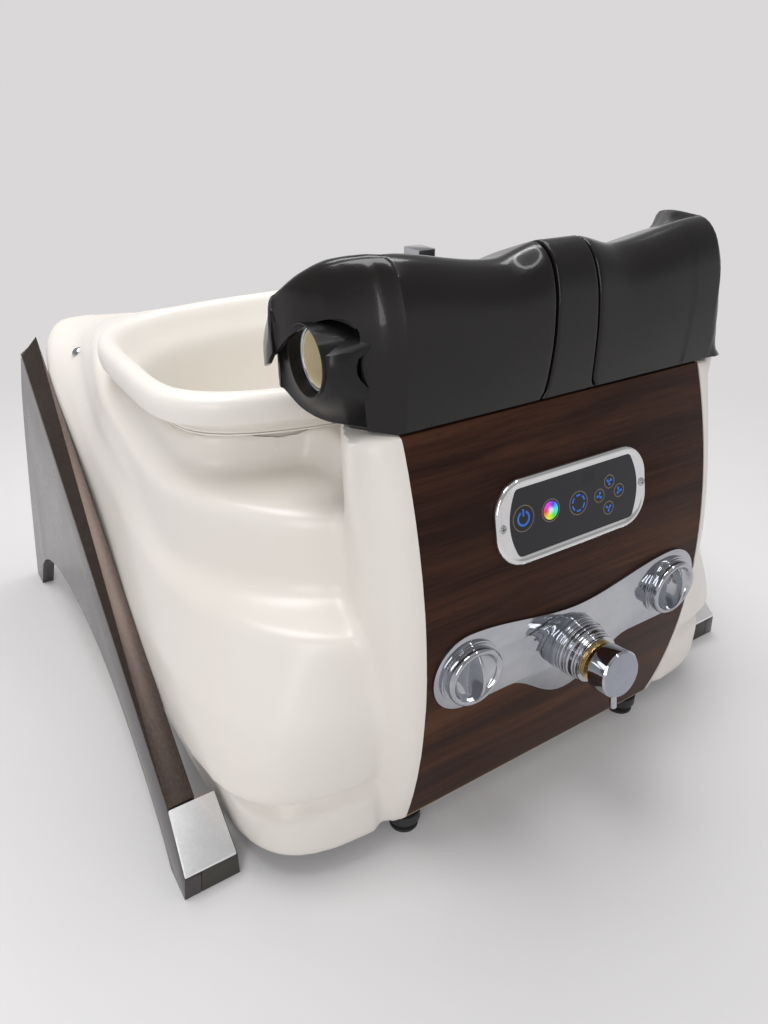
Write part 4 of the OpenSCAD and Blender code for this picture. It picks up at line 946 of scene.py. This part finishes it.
keypad = {
    "centre": (-8, 347), "face": 4.0, "width": 180, "height": 78, "corner": 30,
    "window": 77, "windowHigh": 30.5, "windowShift": 1.5, "endRadius": 54,
    # rings of the bezel and the glass: share of the window's outline, inset and height
    "bezel": [(0, 0.3, None), (0, 0, 1.2), (0, 0, 2.8), (0, 0.5, 4.2), (0, 1.5, 5.3), (0, 2.7, 5.85), (0, 3.8, 5.95),
              (0, 4.9, 5.6), (0, 5.7, 5.0), (0.5, 2.6, 4.7), (1, -0.5, 4.45), (1, 0, 4.2), (1, 0, 0.9),
              (0.5, 3, None), (0, 0.3, None)],
    "glass": [(1, 0.2, 0.5), (1, 0.2, 3.7), (1, 0.5, 4.0)],
    # keys: x, z and radius; power, colour wheel, bubbles and four arrows, then the sensor's window
    "discs": [(-68, 350, 11.0), (-37, 349, 9.6), (-4, 347, 10.2), (35, 357, 5.6), (22, 347, 5.6), (47, 346, 5.6),
              (33, 333, 5.6)],
    "wheelRadius": 8.3, "sensor": (10, 366, 15, 9.5), "sunk": 0.3, "proud": 0.22,
}
keypadPlace, keypadLean = onPanel(*keypad["centre"])


def frameLevel(x, y):
    # below zero inside the bezel's outline
    w, h, r = keypad["width"] / 2, keypad["height"] / 2, keypad["corner"]
    a, b = abs(x) - w + r, abs(y) - h + r
    return hypot(max(a, 0), max(b, 0)) + min(max(a, b), 0) - r


def windowLevel(x, y):
    # below zero inside the window, whose short ends are arcs
    end = keypad["window"] - y * y / (2 * keypad["endRadius"])
    return softMax(abs(y) - keypad["windowHigh"], abs(x - keypad["windowShift"]) - end, 3.0)


def keypadRing(blend, inset, z, count=180):
    # a ring without a height lies on the panel
    ring = []
    for k in range(count):
        t = 2 * pi * k / count
        ux, uy = cos(t) * keypad["width"], sin(t) * keypad["height"] * 1.25
        low, high = 0.0, 1.0
        for _ in range(26):
            at = (low + high) / 2
            x, y = ux * at, uy * at
            level = lerp(frameLevel(x, y), windowLevel(x, y), blend) + inset
            low, high = (at, high) if level < 0 else (low, at)
        ring.append((ux * low, uy * low, z if z is not None else -(uy * low) ** 2 / (2 * panel["radius"])))
    return ring


def makeKeypad():
    for name, part, look, slotName in (("keypadBezel", "bezel", "brightChrome", "chrome"),
                                       ("keypadGlass", "glass", "darkGlass", "dark_glass")):
        rings = [keypadRing(*row) for row in keypad[part]]
        piece = loft(name, rings, capped=part == "glass")
        tidyMesh(piece, recalc=True)
        piece.data.transform(keypadPlace)
        complete(piece, 28, look, "base", slotName, "keypad_" + part)


def keyPoint(x, z):
    return x - keypad["centre"][0], (z - keypad["centre"][1]) / cos(keypadLean)


def flatRing(bm, x, y, low, high, outer, inner, start=0.0, sweep=360.0):
    steps = max(4, int(48 * sweep / 360))
    whole = sweep > 359
    rows = []
    for k in range(steps if whole else steps + 1):
        t = radians(start + sweep * k / steps)
        c, s = cos(t), sin(t)
        rows.append([bm.verts.new(Vector((x + r * c, y + r * s, h)) * mm)
                     for r, h in ((inner, low), (outer, low), (outer, high), (inner, high))])
    for p, q in zip(rows, rows[1:] + (rows[:1] if whole else [])):
        for i in range(4):
            bm.faces.new((p[i], p[(i + 1) % 4], q[(i + 1) % 4], q[i]))
    if not whole:
        bm.faces.new(rows[0][::-1])
        bm.faces.new(rows[-1])


def flatPlate(bm, outline, low, high):
    rings = [[bm.verts.new(Vector((x, y, level)) * mm) for x, y in outline] for level in (low, high)]
    bm.faces.new(rings[0][::-1])
    bm.faces.new(rings[1])
    for k in range(len(outline)):
        j = (k + 1) % len(outline)
        bm.faces.new((rings[0][k], rings[0][j], rings[1][j], rings[1][k]))


def flatDisc(bm, x, y, low, high, radius, count=48):
    flatPlate(bm, [(x + u, y + v) for u, v in circle(radius, count)], low, high)


def flatBar(bm, x, y, low, high, w, h, turn=0.0):
    c, s = cos(radians(turn)), sin(radians(turn))
    corners = [(-w / 2, -h / 2), (w / 2, -h / 2), (w / 2, h / 2), (-w / 2, h / 2)]
    flatPlate(bm, [(x + a * c - b * s, y + a * s + b * c) for a, b in corners], low, high)


def finishMarks(bm, name, look):
    mesh = bpy.data.meshes.new(name)
    bmesh.ops.recalc_face_normals(bm, faces=bm.faces)
    bm.to_mesh(mesh)
    bm.free()
    piece = addObject(name, mesh)
    mesh.transform(keypadPlace)
    complete(piece, 30, look, "base", "dark_glass")


def makeMarks():
    base = keypad["face"]
    low, top = base - keypad["sunk"], base + keypad["proud"]
    discs, rings, glow, wheel = bmesh.new(), bmesh.new(), bmesh.new(), bmesh.new()
    for i, (x, z, r) in enumerate(keypad["discs"]):
        u, v = keyPoint(x, z)
        flatDisc(discs, u, v, low, base + 0.1, r)
        flatRing(rings, u, v, low, base + 0.18, r + 0.95, r)
        if i == 0:
            flatRing(glow, u, v, base, top, 7.0, 5.2, 118, 304)
            flatBar(glow, u, v + 5.2, base, top, 1.7, 6.4)
        elif i == 1:
            flatDisc(wheel, u, v, base, top, keypad["wheelRadius"])
        elif i == 2:
            for k in range(6):
                flatRing(glow, u, v, base, top, 8.0, 6.5, 60 * k + 10, 40)
        else:
            lean = 40 * (i - 4.5)
            for t in [radians(90 + 120 * k + lean) for k in range(3)]:
                flatDisc(glow, u + 2.5 * cos(t), v + 2.5 * sin(t), base, top, 1.25, 16)
            flatBar(glow, u, v, base, base + 0.2, 0.9, 4.2, lean)
    x, z, wide, high = keypad["sensor"]
    flatBar(discs, *keyPoint(x, z), low, base + 0.08, wide, high)
    finishMarks(discs, "keyDiscs", "keyBlack")
    finishMarks(rings, "keyRings", "keyTan")
    finishMarks(glow, "keyGlow", "keyBlue")
    finishMarks(wheel, "keyWheel", "keyColours")


def colourWheel(name):
    # hue goes round the key's middle, and the colour pales towards it
    material, tree, shader, place = newMaterial(name, Roughness=0.3, Emission_Strength=0.75)
    shader.inputs["Base Color"].default_value = (0.05, 0.05, 0.05, 1)
    x, z, _ = keypad["discs"][1]
    at = keypadPlace @ Vector((*[c * mm for c in keyPoint(x, z)], keypad["face"] * mm))
    centred = mapped(tree, place, Location=(-at.x, 0, -at.z))
    apart = node(tree, "ShaderNodeSeparateXYZ", centred)
    turn = node(tree, "ShaderNodeMath", apart["Z"], apart["X"], operation="ARCTAN2")[0]
    flat = node(tree, "ShaderNodeVectorMath", centred, (1, 0, 1), operation="MULTIPLY")[0]
    far = node(tree, "ShaderNodeVectorMath", flat, operation="LENGTH")["Value"]
    colour = node(tree, "ShaderNodeCombineColor", spread(tree, turn, 0.0, 1.0, -pi, pi),
                  spread(tree, far, 0.0, 1.0, 0.0008, 0.0042), 0.95, mode="HSV")[0]
    feed(tree, shader.inputs["Emission Color"], colour)
    return material


makeKeypad()
finish["keyColours"] = colourWheel("keyColours")
makeMarks()
print("keypad made")


# stage, light and camera

stage = {
    "floor": (0.70, 0.69, 0.695), "backdrop": (0.70, 0.685, 0.692), "radius": 40, "level": -0.0002,
    "lift": 0.10, "blend": (0.6, 1.7), "wallTop": 0.12, "dimFrom": 0.34, "dimTo": 0.75,
    "dim": (0.36,) * 3, "overhead": (0.62,) * 3,
}
# each lamp's place, target, size and power
lamps = {
    "keyLight": ((-0.7, 0.1, 2.6), (0, 0, 0.3), (1.2, 0.8), 23.0),
    "topLight": ((0.5, 0.9, 2.4), (0, 0.1, 0.3), (2.2, 0.5), 20.0),
    "edgeLight": ((0.9, -0.3, 2.5), (0, -0.3, 0.5), (2.4, 0.09), 7.0),
    "fillLight": ((-1.9, -1.8, 1.3), (0, 0, 0.3), (0.6, 1.6), 13.0),
}
view = {"place": (-0.476, -0.754, 0.670), "down": 28.6, "turn": -32.5, "lens": 36 * 775 / 1024}


def makeFloor():
    bpy.ops.mesh.primitive_circle_add(vertices=128, radius=stage["radius"], fill_type="TRIFAN",
                                      location=(0, 0, stage["level"]))
    floor = bpy.context.object
    floor.name = "studioFloor"
    settle(floor)
    material = bpy.data.materials.new("floorPaper")
    material.use_nodes = True
    tree = material.node_tree
    tree.nodes.clear()
    paper = node(tree, "ShaderNodeBsdfDiffuse", Color=(*stage["floor"], 1))[0]
    lift = node(tree, "ShaderNodeEmission", Color=(*stage["backdrop"], 1), Strength=stage["lift"])[0]
    near = node(tree, "ShaderNodeAddShader", paper, lift)[0]
    glow = node(tree, "ShaderNodeEmission", Color=(*stage["backdrop"], 1), Strength=1.0)[0]
    far = node(tree, "ShaderNodeVectorMath", node(tree, "ShaderNodeTexCoord")["Object"], operation="LENGTH")["Value"]
    start, end = stage["blend"]
    soft = node(tree, "ShaderNodeMapRange", Value=far, From_Min=start, From_Max=end,
                interpolation_type="SMOOTHSTEP")["Result"]
    node(tree, "ShaderNodeOutputMaterial", Surface=node(tree, "ShaderNodeMixShader", soft, near, glow)[0])
    floor.data.materials.append(material)


def makeSky():
    # a pale wall round the floor, dimmer overhead
    world = bpy.data.worlds.new("studio")
    bpy.context.scene.world = world
    world.use_nodes = True
    tree = world.node_tree
    tree.nodes.clear()
    level = node(tree, "ShaderNodeSeparateXYZ", node(tree, "ShaderNodeTexCoord")["Generated"])["Z"]
    wall, dim = stage["backdrop"], stage["dim"]
    sky = ramp(tree, level, [(0.0, wall), (stage["wallTop"], wall), (stage["dimFrom"], dim), (stage["dimTo"], dim),
                             (1.0, stage["overhead"])])
    node(tree, "ShaderNodeOutputWorld", Surface=node(tree, "ShaderNodeBackground", Color=sky, Strength=1.0)[0])


def lamp(name, place, target, size, power):
    light = bpy.data.lights.new(name, "AREA")
    light.shape, (light.size, light.size_y) = "RECTANGLE", size
    light.energy = power
    piece = addObject(name, light)
    piece.location = place
    piece.rotation_euler = (Vector(target) - Vector(place)).to_track_quat("-Z", "Y").to_euler()


makeFloor()
makeSky()
for name, values in lamps.items():
    lamp(name, *values)
camera = addObject("camera", bpy.data.cameras.new("camera"))
camera.location = view["place"]
camera.rotation_euler = (radians(90 - view["down"]), 0, radians(view["turn"]))
camera.data.sensor_fit, camera.data.sensor_width = "AUTO", 36
camera.data.lens = view["lens"]
camera.data.clip_start = 0.02
bpy.context.scene.camera = camera
bpy.context.scene.view_settings.view_transform = "Standard"
print("stage made")
